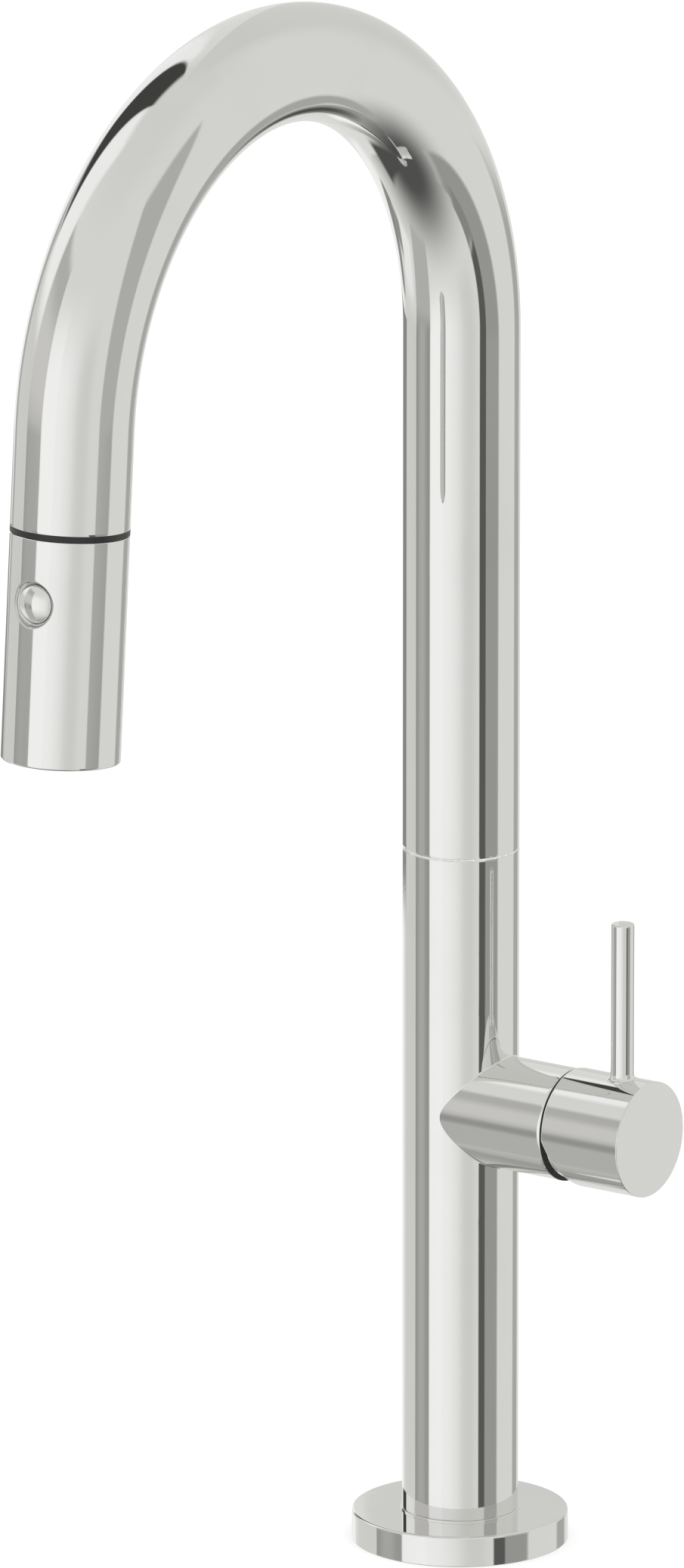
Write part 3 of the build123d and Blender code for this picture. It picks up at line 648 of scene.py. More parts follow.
class FAUCET_OT_deck_flange(bpy.types.Operator):
    """The round flange at the foot, with its groove for the gasket"""

    bl_idname = "faucet.deck_flange"
    bl_label = "Deck Flange"

    def execute(self, context):
        outer, top = high("base_flange").x, high("base_flange").z
        groove_out, groove_top = high("flange_gasket").x, high("flange_gasket").z
        groove_in, bore = groove_out - 3 * MM, high("deck_shank").y - 0.4 * MM
        land_r, land_foot = COLUMN_R + 0.4 * MM, top - 0.5 * MM
        piece = turn("deck_flange", [
            (bore, 0), (groove_in, 0), (groove_in, groove_top), (groove_out, groove_top), (groove_out, 0),
            (outer, 0, 0.25 * MM), (outer, land_foot, context.scene.faucet_sizes.flange_edge),
            (land_r, land_foot), (land_r, top, 0.15 * MM), (bore, top),
        ])
        fit(piece, "column", "base_flange")
        return {"FINISHED"}


class FAUCET_OT_deck_shank(bpy.types.Operator):
    """The threaded shank under the deck"""

    bl_idname = "faucet.deck_shank"
    bl_label = "Deck Shank"

    def execute(self, context):
        sizes = context.scene.faucet_sizes
        crest, bottom, top = high("deck_shank").x, low("deck_shank").z, high("deck_shank").z
        pitch, root = sizes.thread_pitch, crest - sizes.thread_depth
        bore, neck, tip = crest - 3 * MM, crest - 0.5 * MM, COLUMN_R - 3.02 * MM
        profile = [(bore, bottom), (root, bottom)]
        for i in range(int(-bottom / pitch) - 1):
            for r, share in ((root, 0.15), (crest, 0.45), (crest, 0.57), (root, 0.87)):
                profile.append((r, bottom + (i + share) * pitch))
        profile += [(root, 0), (neck, 0), (neck, FOOT_Z), (tip, FOOT_Z), (tip, top, 0.3 * MM), (bore, top)]
        fit(turn("threaded_shank", profile, around=MEDIUM), "column", "deck_shank")
        return {"FINISHED"}


def on_barrel(radius, turned, rise):
    """A point of a barrel's wall."""
    return radius * math.cos(turned), radius * math.sin(turned), rise


def facets(start, end):
    """The turns of a barrel's facets, from one angle to another in degrees."""
    return [math.radians(start + FACET * k) for k in range(round((end - start) / FACET) + 1)]


def barrel(radius, turns, heights):
    """Rows of a barrel's wall over these turns and heights."""
    return [[on_barrel(radius, turned, height) for turned in turns] for height in heights]


def window(radius, edge, half_turn, half_rise, steps_turn, steps_rise, rings):
    """The wall of a barrel round an opening: rows from the opening's edge to a square boundary.

    edge(t) gives the opening's (turn, rise) at angle t. Gives the rows and the angles.
    """
    border, angles = [], []
    for side, steps in enumerate((steps_rise, steps_turn, steps_rise, steps_turn)):
        for k in range(steps):
            share = -1 + 2 * k / steps
            turned, rise = [(1, share), (-share, 1), (-1, -share), (share, -1)][side]
            border.append((turned * half_turn, rise * half_rise))
            angles.append((side * 2 + share) * math.pi / 4)
    border.append(border[0])
    angles.append(angles[0] + 2 * math.pi)
    rows = []
    for ring in range(rings + 1):
        share = (ring / rings) ** 1.4
        row = []
        for t, far in zip(angles, border):
            near = edge(t)
            row.append(on_barrel(radius, *(n + (f - n) * share for n, f in zip(near, far))))
        rows.append(row)
    return rows, angles


class FAUCET_OT_lower_column(bpy.types.Operator):
    """The column under the swivel seam, with the boss that carries the handle"""

    bl_idname = "faucet.lower_column"
    bl_label = "Lower Column"

    def execute(self, context):
        sizes = context.scene.faucet_sizes
        fillet, boss_r = sizes.junction, sizes.boss_radius
        half_turn, half_rise, roll_steps, row_h = 84, 32 * MM, 6, 0.5 * MM
        reach, lean = COLUMN_R + fillet, boss_r + fillet

        def ball(t):
            """Centre of the ball that rolls round the junction."""
            across = lean * math.cos(t)
            return Vector((math.sqrt(reach**2 - across**2), across, lean * math.sin(t)))

        def edge(t):
            middle = ball(t)
            return math.atan2(middle.y, middle.x), middle.z

        def rolled(t, step):
            middle = ball(t)
            to_column = Vector((-middle.x, -middle.y, 0)) / reach
            to_boss = Vector((0, -math.cos(t), -math.sin(t)))
            return middle + fillet * to_column.slerp(to_boss, step / roll_steps)

        def on_boss(t, share):
            start = ball(t).x
            return start + (BOSS_END - start) * share, boss_r * math.cos(t), boss_r * math.sin(t)

        wall, angles = window(COLUMN_R, edge, math.radians(half_turn), half_rise, 112, 60, 26)
        back, ring = facets(half_turn, 360 - half_turn), facets(-half_turn, 360 - half_turn)
        bottom, top = FOOT_Z - HANDLE.z, SEAM_Z - HANDLE.z
        piece = skin("lower_column", [
            wall,
            [[rolled(t, step) for t in angles] for step in range(roll_steps + 1)],
            [[on_boss(t, share) for t in angles] for share in (0, 0.02, 0.25, 0.5, 0.75, 0.96, 1)],
            barrel(COLUMN_R, back, spaced(-half_rise, half_rise, 60)),
            barrel(COLUMN_R, ring, [*spaced(half_rise, top - row_h, 14), top]),
            barrel(COLUMN_R, ring, [bottom, *spaced(bottom + row_h, -half_rise, 22)]),
        ])
        put(piece, Matrix.Translation((0, 0, HANDLE.z)))
        walled(piece, sizes.body_wall, use_even_offset=True)
        rims_rounded(piece, sizes.seam_edge, harden_normals=False)
        fit(piece, "column", "lower_body", sharp=SWEPT)
        return {"FINISHED"}


def sweep_spout(name, radius, start, drop, around, steps, sizes):
    """An open tube up the column's axis from a height, over the bend and some way down the outlet."""
    rise = bend_height(sizes)
    if rise <= start:
        raise RuntimeError("the spout's bend starts below its seam")
    start_clean()
    bpy.ops.mesh.primitive_circle_add(vertices=around, radius=radius, location=(0, 0, start))
    piece = named(name)
    edit(piece)
    for part in (0.005, *[0.995 / 8] * 8):
        bpy.ops.mesh.extrude_region_move(TRANSFORM_OT_translate={"value": (0, 0, (rise - start) * part)})
    bpy.ops.mesh.spin(
        steps=steps, angle=sizes.bend_angle, center=(0, -sizes.bend_radius, rise), axis=(-1, 0, 0)
    )
    way = outlet_place(sizes).to_3x3().col[2]
    for part in (0.5, 0.475, 0.025) if drop else ():
        bpy.ops.mesh.extrude_region_move(TRANSFORM_OT_translate={"value": way * drop * part})
    bpy.ops.object.mode_set(mode="OBJECT")
    put(piece, piece.matrix_world.copy())
    return closed(piece)


class FAUCET_OT_spout(bpy.types.Operator):
    """The bent spout tube over the swivel seam"""

    bl_idname = "faucet.spout"
    bl_label = "Spout"

    def execute(self, context):
        sizes = context.scene.faucet_sizes
        drop = along_outlet(sizes, "spout_tube")[1]
        piece = sweep_spout("spout_shell", COLUMN_R, low("spout_tube").z, drop, RING, 150, sizes)
        walled(piece, sizes.tube_wall, use_even_offset=True)
        rims_rounded(piece, sizes.seam_edge)
        fit(piece, "spout", "spout_tube", sharp=SWEPT)
        return {"FINISHED"}


class FAUCET_OT_handle_dome(bpy.types.Operator):
    """The round cover behind the handle, and a dark ring at its foot that is painted shadow in the gap"""

    bl_idname = "faucet.handle_dome"
    bl_label = "Handle Dome"

    def execute(self, context):
        radius, wall, skirt = high("handle_dome").y, 1.5 * MM, 14.98 * MM
        foot, front = low("handle_dome").x - HANDLE.x, high("handle_dome").x - HANDLE.x
        back = BOSS_END - HANDLE.x

        def ball(r, heights):
            return [(math.sqrt(r**2 - h**2), h) for h in heights]

        dome = turn("handle_dome_cover", [
            (skirt - wall, foot), (skirt, foot), (skirt, back),
            *ball(radius, spaced(back, front, 20)), *ball(radius - wall, spaced(front, back, 12)),
        ], valve_place() @ Matrix.Translation((0, 0, HANDLE.x)), RING)
        fit(dome, "column", "handle_dome")
        # Painted shadow: a thin black disc in the gap between the boss and the handle, where there is only shade
        # and no real part. It wears the seal rubber finish.
        inner, outer = skirt + PLAY, context.scene.faucet_sizes.boss_radius
        start, end = BOSS_END + 0.01 * MM, BOSS_END + 0.25 * MM
        shadow = turn("gap_ring", [
            (inner, start), (outer, start), (outer, end, 0.08 * MM), (inner, end),
        ], valve_place(), RING)
        fit(shadow, "column", slot="seal_rubber")
        return {"FINISHED"}


class FAUCET_OT_handle_cap(bpy.types.Operator):
    """The handle's barrel, cut back under its axis so that it can tilt, with its screw cover"""

    bl_idname = "faucet.handle_cap"
    bl_label = "Handle Cap"

    def execute(self, context):
        sizes = context.scene.faucet_sizes
        front, rear, slant = sizes.cap_front_edge, sizes.cap_rear_edge, sizes.cap_relief
        start, end = low("handle_cap").x - HANDLE.x, CAP_END - HANDLE.x
        clear = HANDLE.x - BOSS_END - 0.3 * MM
        socket_r, socket_floor = high("handle_dome").y + 0.3 * MM, 12 * MM
        floor_turn = math.asin(socket_floor / socket_r)

        def rim(rise):
            """Where the barrel's rear face lies, past the pivot, at a height over the axis."""
            return max(start, (-clear - rise * math.sin(slant)) / math.cos(slant))

        def mouth(t):
            """Radius where the rear face meets the socket."""
            r = socket_r
            for _ in range(30):
                r = math.sqrt(socket_r**2 - rim(r * math.sin(t)) ** 2)
            return r

        def level(t, along, r):
            return along, r

        def on_side(t, share):
            far = rim(CAP_R * math.sin(t)) + rear + SUPPORT
            return (end - front) * (1 - share) + share * far, CAP_R

        def on_rear_edge(t, a):
            r = CAP_R - rear * (1 - math.cos(a))
            return rim(r * math.sin(t)) + rear * (1 - math.sin(a)), r

        def on_rear_face(t, share):
            r = CAP_R - rear + (mouth(t) - CAP_R + rear) * share
            return rim(r * math.sin(t)), r

        def in_socket(t, share):
            r = mouth(t)
            begin = math.atan2(rim(r * math.sin(t)), r)
            a = begin + (floor_turn - begin) * share
            return socket_r * math.sin(a), socket_r * math.cos(a)

        edge_x, edge_r, floor_r = end - front, CAP_R - front, socket_r * math.cos(floor_turn)
        rings = [
            *[(level, end, CAP_R * share) for share in (0, 0.25, 0.5, 0.75, 0.93)],
            (level, end, edge_r - SUPPORT),
            *[(level, edge_x + front * math.cos(a), edge_r + front * math.sin(a)) for a in QUARTER],
            (level, edge_x - SUPPORT, CAP_R),
            *[(on_side, share) for share in (0.25, 0.5, 0.75, 1)],
            *[(on_rear_edge, a) for a in QUARTER],
            *[(on_rear_face, share) for share in (0.05, 0.5, 1)],
            *[(in_socket, share) for share in (0.02, 0.25, 0.5, 0.75, 1)],
            *[(level, socket_floor, floor_r * share) for share in (0.9, 0.5, 0)],
        ]
        rows = []
        for place, *more in rings:
            row = []
            for t in spaced(0, 2 * math.pi, AROUND):
                along, r = place(t, *more)
                row.append((along, r * math.cos(t), r * math.sin(t)))
            rows.append(row)
        piece = skin("handle_cap_barrel", [rows])
        put(piece, Matrix.Translation(HANDLE))

        screw, cut_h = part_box("handle_screw_plug"), 9 * MM
        across = (screw[0].x, screw[1].x)
        hole_x, cover_r = centre(across), half(across)
        start_clean()
        bpy.ops.mesh.primitive_cylinder_add(
            vertices=SMALL, radius=cover_r + 0.15 * MM, depth=cut_h,
            location=(hole_x, 0, screw[1].z - cut_h / 2),
        )
        cutter = bpy.context.object
        apply_modifier(piece, "BOOLEAN", object=cutter, operation="DIFFERENCE", solver="EXACT")
        pick(cutter)
        bpy.ops.object.delete()
        fit(piece, "handle", "handle_cap", sharp=SWEPT)

        cover = turn("screw_cover", [
            (0, screw[1].z), (cover_r, screw[1].z), (cover_r, screw[0].z + 0.55 * MM, 0.3 * MM),
            (0, screw[0].z + 0.35 * MM),
        ], Matrix.Translation((hole_x, 0, 0)), SMALL)
        fit(cover, "handle", "handle_screw_plug")
        return {"FINISHED"}


class FAUCET_OT_lever(bpy.types.Operator):
    """The slim lever, with its flared foot"""

    bl_idname = "faucet.lever"
    bl_label = "Lever"

    def execute(self, context):
        sizes = context.scene.faucet_sizes
        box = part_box("lever_pin")
        r, flare, surface, top = sizes.lever_radius, sizes.lever_flare, HANDLE.z + CAP_R, box[1].z
        root, flare_foot, flare_h = surface - 1.4 * MM, surface - 0.35 * MM, 1.6 * flare
        piece = turn("lever", [
            (0, root), (r + flare, root),
            *[(r + flare * (1 - math.sin(a)), flare_foot + flare_h * (1 - math.cos(a))) for a in QUARTER],
            (r, top, sizes.lever_edge), (0, top),
        ], Matrix.Translation((centre((box[0].x, box[1].x)), 0, 0)), MEDIUM)
        fit(piece, "handle", "lever_pin")
        return {"FINISHED"}


class FAUCET_OT_docking_ring(bpy.types.Operator):
    """The black ring between the spout and the spray head"""

    bl_idname = "faucet.docking_ring"
    bl_label = "Docking Ring"

    def execute(self, context):
        sizes = context.scene.faucet_sizes
        near, far = along_outlet(sizes, "dock_collar")
        tube_end = along_outlet(sizes, "spout_tube")[1]
        bore, inner = 10.45 * MM, COLUMN_R - sizes.tube_wall - PLAY
        piece = turn("docking_ring", [
            (bore, near, 0.5 * MM), (inner, near, 0.2 * MM), (inner, tube_end),
            (COLUMN_R, tube_end, 0.12 * MM), (COLUMN_R, far, 0.12 * MM), (bore, far, 0.6 * MM),
        ], outlet_place(sizes), RING)
        fit(piece, "spout", "dock_collar")
        return {"FINISHED"}


HEAD_WALL = 1.6 * MM


class FAUCET_OT_spray_shell(bpy.types.Operator):
    """The spray head's shell, open for its button"""

    bl_idname = "faucet.spray_shell"
    bl_label = "Spray Shell"

    def execute(self, context):
        sizes = context.scene.faucet_sizes
        near, far = along_outlet(sizes, "spray_shell")
        at = centre(along_outlet(sizes, "button_cap"))
        near, far = near - at, far - at
        hole_r = half(along_outlet(sizes, "button_bezel")) + PLAY
        inner_r, neck_r, top_edge = COLUMN_R - HEAD_WALL, 10.22 * MM, 0.3 * MM
        lip, chamfer, row_h = sizes.head_edge, sizes.button_chamfer, 0.1 * MM
        half_turn, half_rise = 36, 14 * MM

        def opened(radius, hole, rings):
            """The wall round the button's hole."""
            return window(
                radius, lambda t: (math.asin(hole * math.cos(t) / radius), hole * math.sin(t)),
                math.radians(half_turn), half_rise, 48, 32, rings,
            )

        outer, angles = opened(COLUMN_R, hole_r + chamfer, 14)
        inner, _ = opened(inner_r, hole_r, 6)

        def across(radius, hole, sink):
            """A ring of points of a round opening, sunk under the barrel's surface."""
            sides = [hole * math.cos(t) for t in angles]
            rises = [hole * math.sin(t) for t in angles]
            return [(math.sqrt(radius**2 - s**2) - sink, s, rise) for s, rise in zip(sides, rises)]

        wall = [
            across(COLUMN_R, hole_r + chamfer, 0), across(COLUMN_R, hole_r + chamfer * 0.35, chamfer * 0.3),
            across(COLUMN_R, hole_r, chamfer * 0.9), across(inner_r, hole_r, 0),
        ]
        back, ring = facets(half_turn, 360 - half_turn), facets(-half_turn, 360 - half_turn)
        sides = spaced(-half_rise, half_rise, 32)
        top, ceiling, foot = near + top_edge, near + HEAD_WALL, far - lip
        below = half_rise + 0.4 * (foot - half_rise)
        lip_w = min(lip, 0.45 * (COLUMN_R - inner_r))
        lower_edge = [(COLUMN_R - lip_w * (1 - math.cos(a)), foot + lip * math.sin(a)) for a in QUARTER]
        lower_edge += [
            (inner_r + lip_w * (1 - math.cos(a)), foot + lip * math.sin(a)) for a in reversed(QUARTER)
        ]
        upper_edge = [
            (COLUMN_R - top_edge * (1 - math.cos(a)), top - top_edge * math.sin(a))
            for a in spaced(0, math.pi / 2, 5)
        ]
        upper_edge += [(neck_r + 2 * MM, near), (neck_r, near), (neck_r, ceiling), (inner_r, ceiling)]
        piece = skin("spray_head_shell", [
            outer, inner, wall,
            barrel(COLUMN_R, back, sides),
            barrel(COLUMN_R, ring, [top, top + row_h, -half_rise]),
            barrel(COLUMN_R, ring, [half_rise, below, foot - row_h, foot]),
            barrel(inner_r, back, sides),
            barrel(inner_r, ring, [ceiling, -half_rise]),
            barrel(inner_r, ring, [half_rise, foot]),
            *[[[on_barrel(r, a, h) for a in ring] for r, h in line] for line in (lower_edge, upper_edge)],
        ])
        to_front = Matrix.Rotation(math.pi / 2, 4, "Z")
        put(piece, outlet_place(sizes) @ Matrix.Translation((0, 0, at)) @ to_front)
        fit(piece, "spray_head", "spray_shell", sharp=SWEPT)
        return {"FINISHED"}


class FAUCET_OT_spray_button(bpy.types.Operator):
    """The domed spray button, the bezel round it and the spring under it"""

    bl_idname = "faucet.spray_button"
    bl_label = "Spray Button"

    def execute(self, context):
        sizes = context.scene.faucet_sizes
        place = button_place(sizes)
        foot, top = out_of_head(sizes, "button_cap")
        skirt, bezel_r = half(along_outlet(sizes, "button_cap")), half(along_outlet(sizes, "button_bezel"))
        r, dome, stem = skirt - 0.5 * MM, 2.1 * MM, 3.62 * MM
        skirt_top, hollow = foot + 0.9 * MM, foot + 2 * MM
        sphere = (r**2 + dome**2) / (2 * dome)
        crown = spaced(0, 0.93 * math.asin(r / sphere), 14)
        button = turn("spray_button_cap", [
            *[(sphere * math.sin(a), top - sphere + sphere * math.cos(a)) for a in crown],
            (r, top - dome - 0.15 * MM, 0.3 * MM), (r, skirt_top), (skirt, skirt_top, 0.1 * MM),
            (skirt, foot, 0.1 * MM), (stem, foot), (stem, hollow), (0, hollow),
        ], place, FINE)
        fit(button, "spray_button", "button_cap")
        bezel_foot, bezel_top = out_of_head(sizes, "button_bezel")
        bore = r + 0.1 * MM
        bezel = turn("button_bezel_ring", [
            (bore, bezel_foot), (bezel_r, bezel_foot), (bezel_r, bezel_top, 0.1 * MM),
            (bore, bezel_top, 0.25 * MM),
        ], place, FINE)
        fit(bezel, "spray_head", "button_bezel")

        seat, crest = out_of_head(sizes, "button_spring")
        wire, coil_r, steps = 0.35 * MM, 4.6 * MM, 96
        rises = spaced(seat + wire, crest - wire, steps)
        route = [on_barrel(coil_r, math.radians(15 * k), rise) for k, rise in enumerate(rises)]
        spring = tube("spring_coil", route, wire, 3, 4)
        put(spring, place)
        ends = (place @ Vector((0, 0, height)) for height in (seat, crest))
        fit(spring, ("spray_head", "spray_button", *ends), "button_spring", sharp=30)
        return {"FINISHED"}


class FAUCET_OT_spray_face(bpy.types.Operator):
    """The outlet face with its silicone nozzles and aerator"""

    bl_idname = "faucet.spray_face"
    bl_label = "Spray Face"

    def execute(self, context):
        sizes = context.scene.faucet_sizes
        place = outlet_place(sizes)
        near, far = along_outlet(sizes, "spray_face")
        mat_near, mat_far = along_outlet(sizes, "nozzle_mat")
        outer, inner, rebate = COLUMN_R - HEAD_WALL - PLAY, 8.02 * MM, 1.18 * MM
        plate, sunk = far - 3 * MM, far - 0.12 * MM
        face = turn("spray_face_plate", [
            (inner, plate), (outer - rebate, plate), (outer - rebate, near), (outer, near),
            (outer, far, 0.4 * MM), (14.4 * MM, sunk), (9.2 * MM, sunk), (inner, far, 0.2 * MM),
        ], place, RING)
        fit(face, "spray_head", "spray_face")

        start, bore = plate - 0.4 * MM, 0.4 * MM
        nozzle = turn("nozzle", [
            (bore, start), (0.9 * MM, start), (1.0 * MM, far - 0.1 * MM, 0.15 * MM),
            (0.8 * MM, mat_far - 0.1 * MM, 0.15 * MM), (0.62 * MM, mat_far, 0.1 * MM),
            (bore, mat_far - 0.15 * MM),
        ], None, 24)
        nozzles = []
        for ring_r, count in ((10.4 * MM, 14), (13.2 * MM, 18)):
            for i in range(count):
                pick(nozzle)
                bpy.ops.object.duplicate()
                nozzles.append(bpy.context.object)
                turned = Matrix.Rotation(2 * math.pi * i / count, 4, "Z")
                put(nozzles[-1], place @ turned @ Matrix.Translation((ring_r, 0, 0)))
        pick(nozzle)
        bpy.ops.object.delete()
        mat_in, mat_out, mat_face = inner + 0.1 * MM, outer - 1.3 * MM, start + 0.35 * MM
        mat = turn("nozzle_mat_disc", [
            (mat_in, mat_near), (mat_out, mat_near), (mat_out, mat_face), (mat_in, mat_face),
        ], place, MEDIUM)
        pick(mat, *nozzles)
        bpy.ops.object.join()
        fit(named("spray_nozzles"), "spray_head", "nozzle_mat")

        near, far = along_outlet(sizes, "aerator_housing")
        shelf, bore, rim, cup = near + 1.2 * MM, 3.5 * MM, 8 * MM, 6.9 * MM
        aerator = turn("aerator_ring", [
            (bore, near), (rim, near), (rim, far, 0.3 * MM), (cup, far, 0.35 * MM), (cup, shelf),
            (bore, shelf),
        ], place, FINE)
        fit(aerator, "spray_head", "aerator_housing")
        return {"FINISHED"}


class FAUCET_OT_spray_neck(bpy.types.Operator):
    """The neck that docks in the ring, and the crimped end of the hose that carries it"""

    bl_idname = "faucet.spray_neck"
    bl_label = "Spray Neck"

    def execute(self, context):
        sizes = context.scene.faucet_sizes
        place = outlet_place(sizes)
        near, far = along_outlet(sizes, "spray_neck")
        head = along_outlet(sizes, "spray_shell")[0] + HEAD_WALL
        flange_r, neck_r, bore, pocket = 15.88 * MM, 10.2 * MM, 5.05 * MM, 6.6 * MM
        shoulder = along_outlet(sizes, "hose_end_fitting")[1] - 7.85 * MM
        neck = turn("docking_neck", [
            (bore, near), (neck_r - 1.6 * MM, near, 0.4 * MM), (neck_r, near + 2.4 * MM, 0.8 * MM),
            (neck_r, head), (flange_r, head), (flange_r, far), (pocket, far), (pocket, shoulder),
            (bore, shoulder),
        ], place, FINE)
        fit(neck, "spray_head", "spray_neck")
        near, far = along_outlet(sizes, "hose_ferrule")
        bore, outer, groove = (sizes.hose_radius + more * MM for more in (0.02, 1.2, 0.85))
        crimps = []
        for i in range(4):
            at = near + (1.6 + 2.3 * i) * MM
            for r, along in ((outer, 0), (groove, 0.35), (groove, 0.95), (outer, 1.3)):
                crimps.append((r, at + along * MM, 0.1 * MM))
        ferrule = turn("crimped_ferrule", [
            (bore, near), (outer, near, 0.3 * MM), *crimps, (outer, far), (bore, far),
        ], place, MEDIUM)
        fit(ferrule, "hose_end", "hose_ferrule")
        return {"FINISHED"}


class FAUCET_OT_hoses(bpy.types.Operator):
    """The braided spray hose, from under the deck to the spray head"""

    bl_idname = "faucet.hoses"
    bl_label = "Spray Hose"

    def execute(self, context):
        sizes = context.scene.faucet_sizes
        r, bore, place = sizes.hose_radius, 4 * MM, outlet_place(sizes)
        upper = sweep_spout("hose_in_spout", r, low("spray_hose_upper").z, 0, 48, 90, sizes)
        walled(upper, r - bore)
        fit(upper, "spout", "spray_hose_upper", sharp=SWEPT)

        foot, top = low("spray_hose_lower").z, high("spray_hose_lower").z
        aside = low("spray_hose_lower").x + r
        plug = centre((low("hose_quick_plug").x, high("hose_quick_plug").x))
        route = [
            (0, top), (0, top - 19 * MM), (aside * 0.55, HANDLE.z + 45 * MM), (aside, HANDLE.z + 28 * MM),
            (aside, HANDLE.z), (aside, HANDLE.z - 30 * MM), (plug, HANDLE.z - 75 * MM),
            (plug, foot + 20 * MM), (plug, foot),
        ]
        lower = tube("hose_in_column", [(x, 0, z) for x, z in route], r, 12, 10)
        fit(lower, "column", "spray_hose_lower", sharp=SWEPT)

        near, far = along_outlet(sizes, "hose_end_section")
        stretch = (near + 0.5 * MM, near + 7.5 * MM)
        pulled = turn("pull_out_hose", [
            *[(r, h) for h in spaced(near, stretch[1], 60)], (r, far), (bore, far),
            *[(bore, h) for h in spaced(stretch[1], near, 12)],
        ], place, SMALL)
        ends = (place @ Vector((0, 0, height)) for height in stretch)
        fit(pulled, ("spout", "hose_end", *ends), "hose_end_section", sharp=SWEPT)
        return {"FINISHED"}


def make_panel_group():
    """A soft-edged light panel seen in a direction. Out: its mask."""
    group, given, out = new_group("Studio panel", [
        (label, VALUE, default) for label, default in (
            ("Turn", 0.0), ("Rise", 0.0), ("Left", -10.0), ("Right", 10.0), ("Low", -10.0), ("High", 10.0),
            ("Left lean", 0.0), ("Right lean", 0.0), ("Side blur", 1.5), ("End blur", 4.0),
        )
    ], [("Mask", VALUE)])
    given = given.outputs

    def past(value, edge, blur):
        return ramped(group, value, maths(group, "SUBTRACT", edge, blur), maths(group, "ADD", edge, blur))

    def between(first, last):
        return product(group, first, maths(group, "SUBTRACT", 1.0, last))

    sides = []
    for side in ("Left", "Right"):
        edge = maths(group, "MULTIPLY_ADD", given["Rise"], given[side + " lean"], given[side])
        sides.append(past(given["Turn"], edge, given["Side blur"]))
    ends = [past(given["Rise"], given[end], given["End blur"]) for end in ("Low", "High")]
    feed(group, out.inputs[0], product(group, between(*sides), between(*ends)))


# Panels round the faucet: name, light, tint, left, right, low, high, left lean, right lean, side blur,
# end blur. Turns are in degrees from the camera's side, to the right, and rises over the horizon.
TINTS = {"plain": (1.0, 1.0, 1.0), "pale": (0.99, 1.0, 0.962), "warm": (1.01, 0.99, 0.97)}
PANELS = (
    ("back wall", 0.72, "pale", 130, 200, 0, 75, 0, 0, 14, 8),
    ("soft front", 0.73, "pale", 0, 27, -34, 14, 0, 0, 8, 8),
    ("key spread", 1.02, "plain", -64, -8, -30, 22, 0, 0, 24, 16),
    ("key light", 1.06, "plain", -64, -36, -24, 20, 0, 0, 2.5, 14),
    ("back corner", 0.83, "pale", -190, -158, -60, 60, 0, 0, 2, 8),
    ("far side wall", 0.98, "plain", -170, -151, -38, 52, 0, -0.12, 3.0, 6),
    ("low side wall", 0.72, "pale", -140, -102, -18, 8, 0, 0, 2.0, 3),
    ("near side wall", 1.01, "plain", -136, -102, 10, 62, 0, 0, 6.0, 6),
    ("low side glow", 0.95, "plain", -132, -108, -40, -22, 0, 0, 4.0, 3),
    ("doorway", 0.06, "pale", -150.5, -134.5, 11, 66, -0.25, -0.02, 1.5, 4),
    ("doorway step", 0.48, "pale", -150, -139, -12.8, 8, 0, 0, 1.5, 1),
    ("doorway rail", 0.28, "pale", -166, -138, -15.1, -12.8, 0, 0, 1.0, 0.1),
    ("doorway foot", 0.30, "pale", -151, -140, -38, -17.6, 0, 0, 1.5, 0.6),
    ("dark mat", 0.33, "pale", -141, -130, -37, -27, 0, 0, 2.0, 2),
    ("left screen", 0.51, "pale", -101, -65.5, -52, 36, 0, 0, 1.0, 3),
    ("left screen glow", 0.68, "warm", -102, -66, -3, 21, 0, 0, 2.0, 7),
    ("left screen edge", 0.35, "pale", -101, -65.5, -19, -8, 0, 0, 1.0, 4),
    ("left screen sheen", 0.47, "pale", -93, -76, -19, -8, 0, 0, 6.0, 4),
    ("right screen", 0.50, "pale", 48.5, 78, -60, 34, 0, 0, 1.6, 3),
    ("right screen foot", 0.365, "pale", 48.5, 76, -56, -12, 0, 0, 1.6, 3),
    ("dark stand", 0.115, "pale", 32.0, 46.5, -34, -12.4, -0.24, -0.16, 1.2, 0.9),
    ("stand foot", 0.28, "pale", 31.5, 46.5, -50, -34, -0.24, -0.22, 1.2, 3),
    ("back screen", 0.45, "pale", 127, 150, -60, -7, 0, 0, 3.0, 3),
    ("low back light", 1.05, "plain", 141, 172, -76, -41, 0, 0, 3.0, 3),
    ("dark floor mat", 0.09, "pale", -172, -130, -80, -57, 0, 0, 5.0, 2.5),
)
ROOM_FOOT, ROOM_TOP = (-80.0, -36.0), (40.0, 70.0)  # rises over which the room's level changes
FOOT_LEVEL, TOP_LEVEL, PLAIN_LEVEL = 0.12, 0.95, 1.08


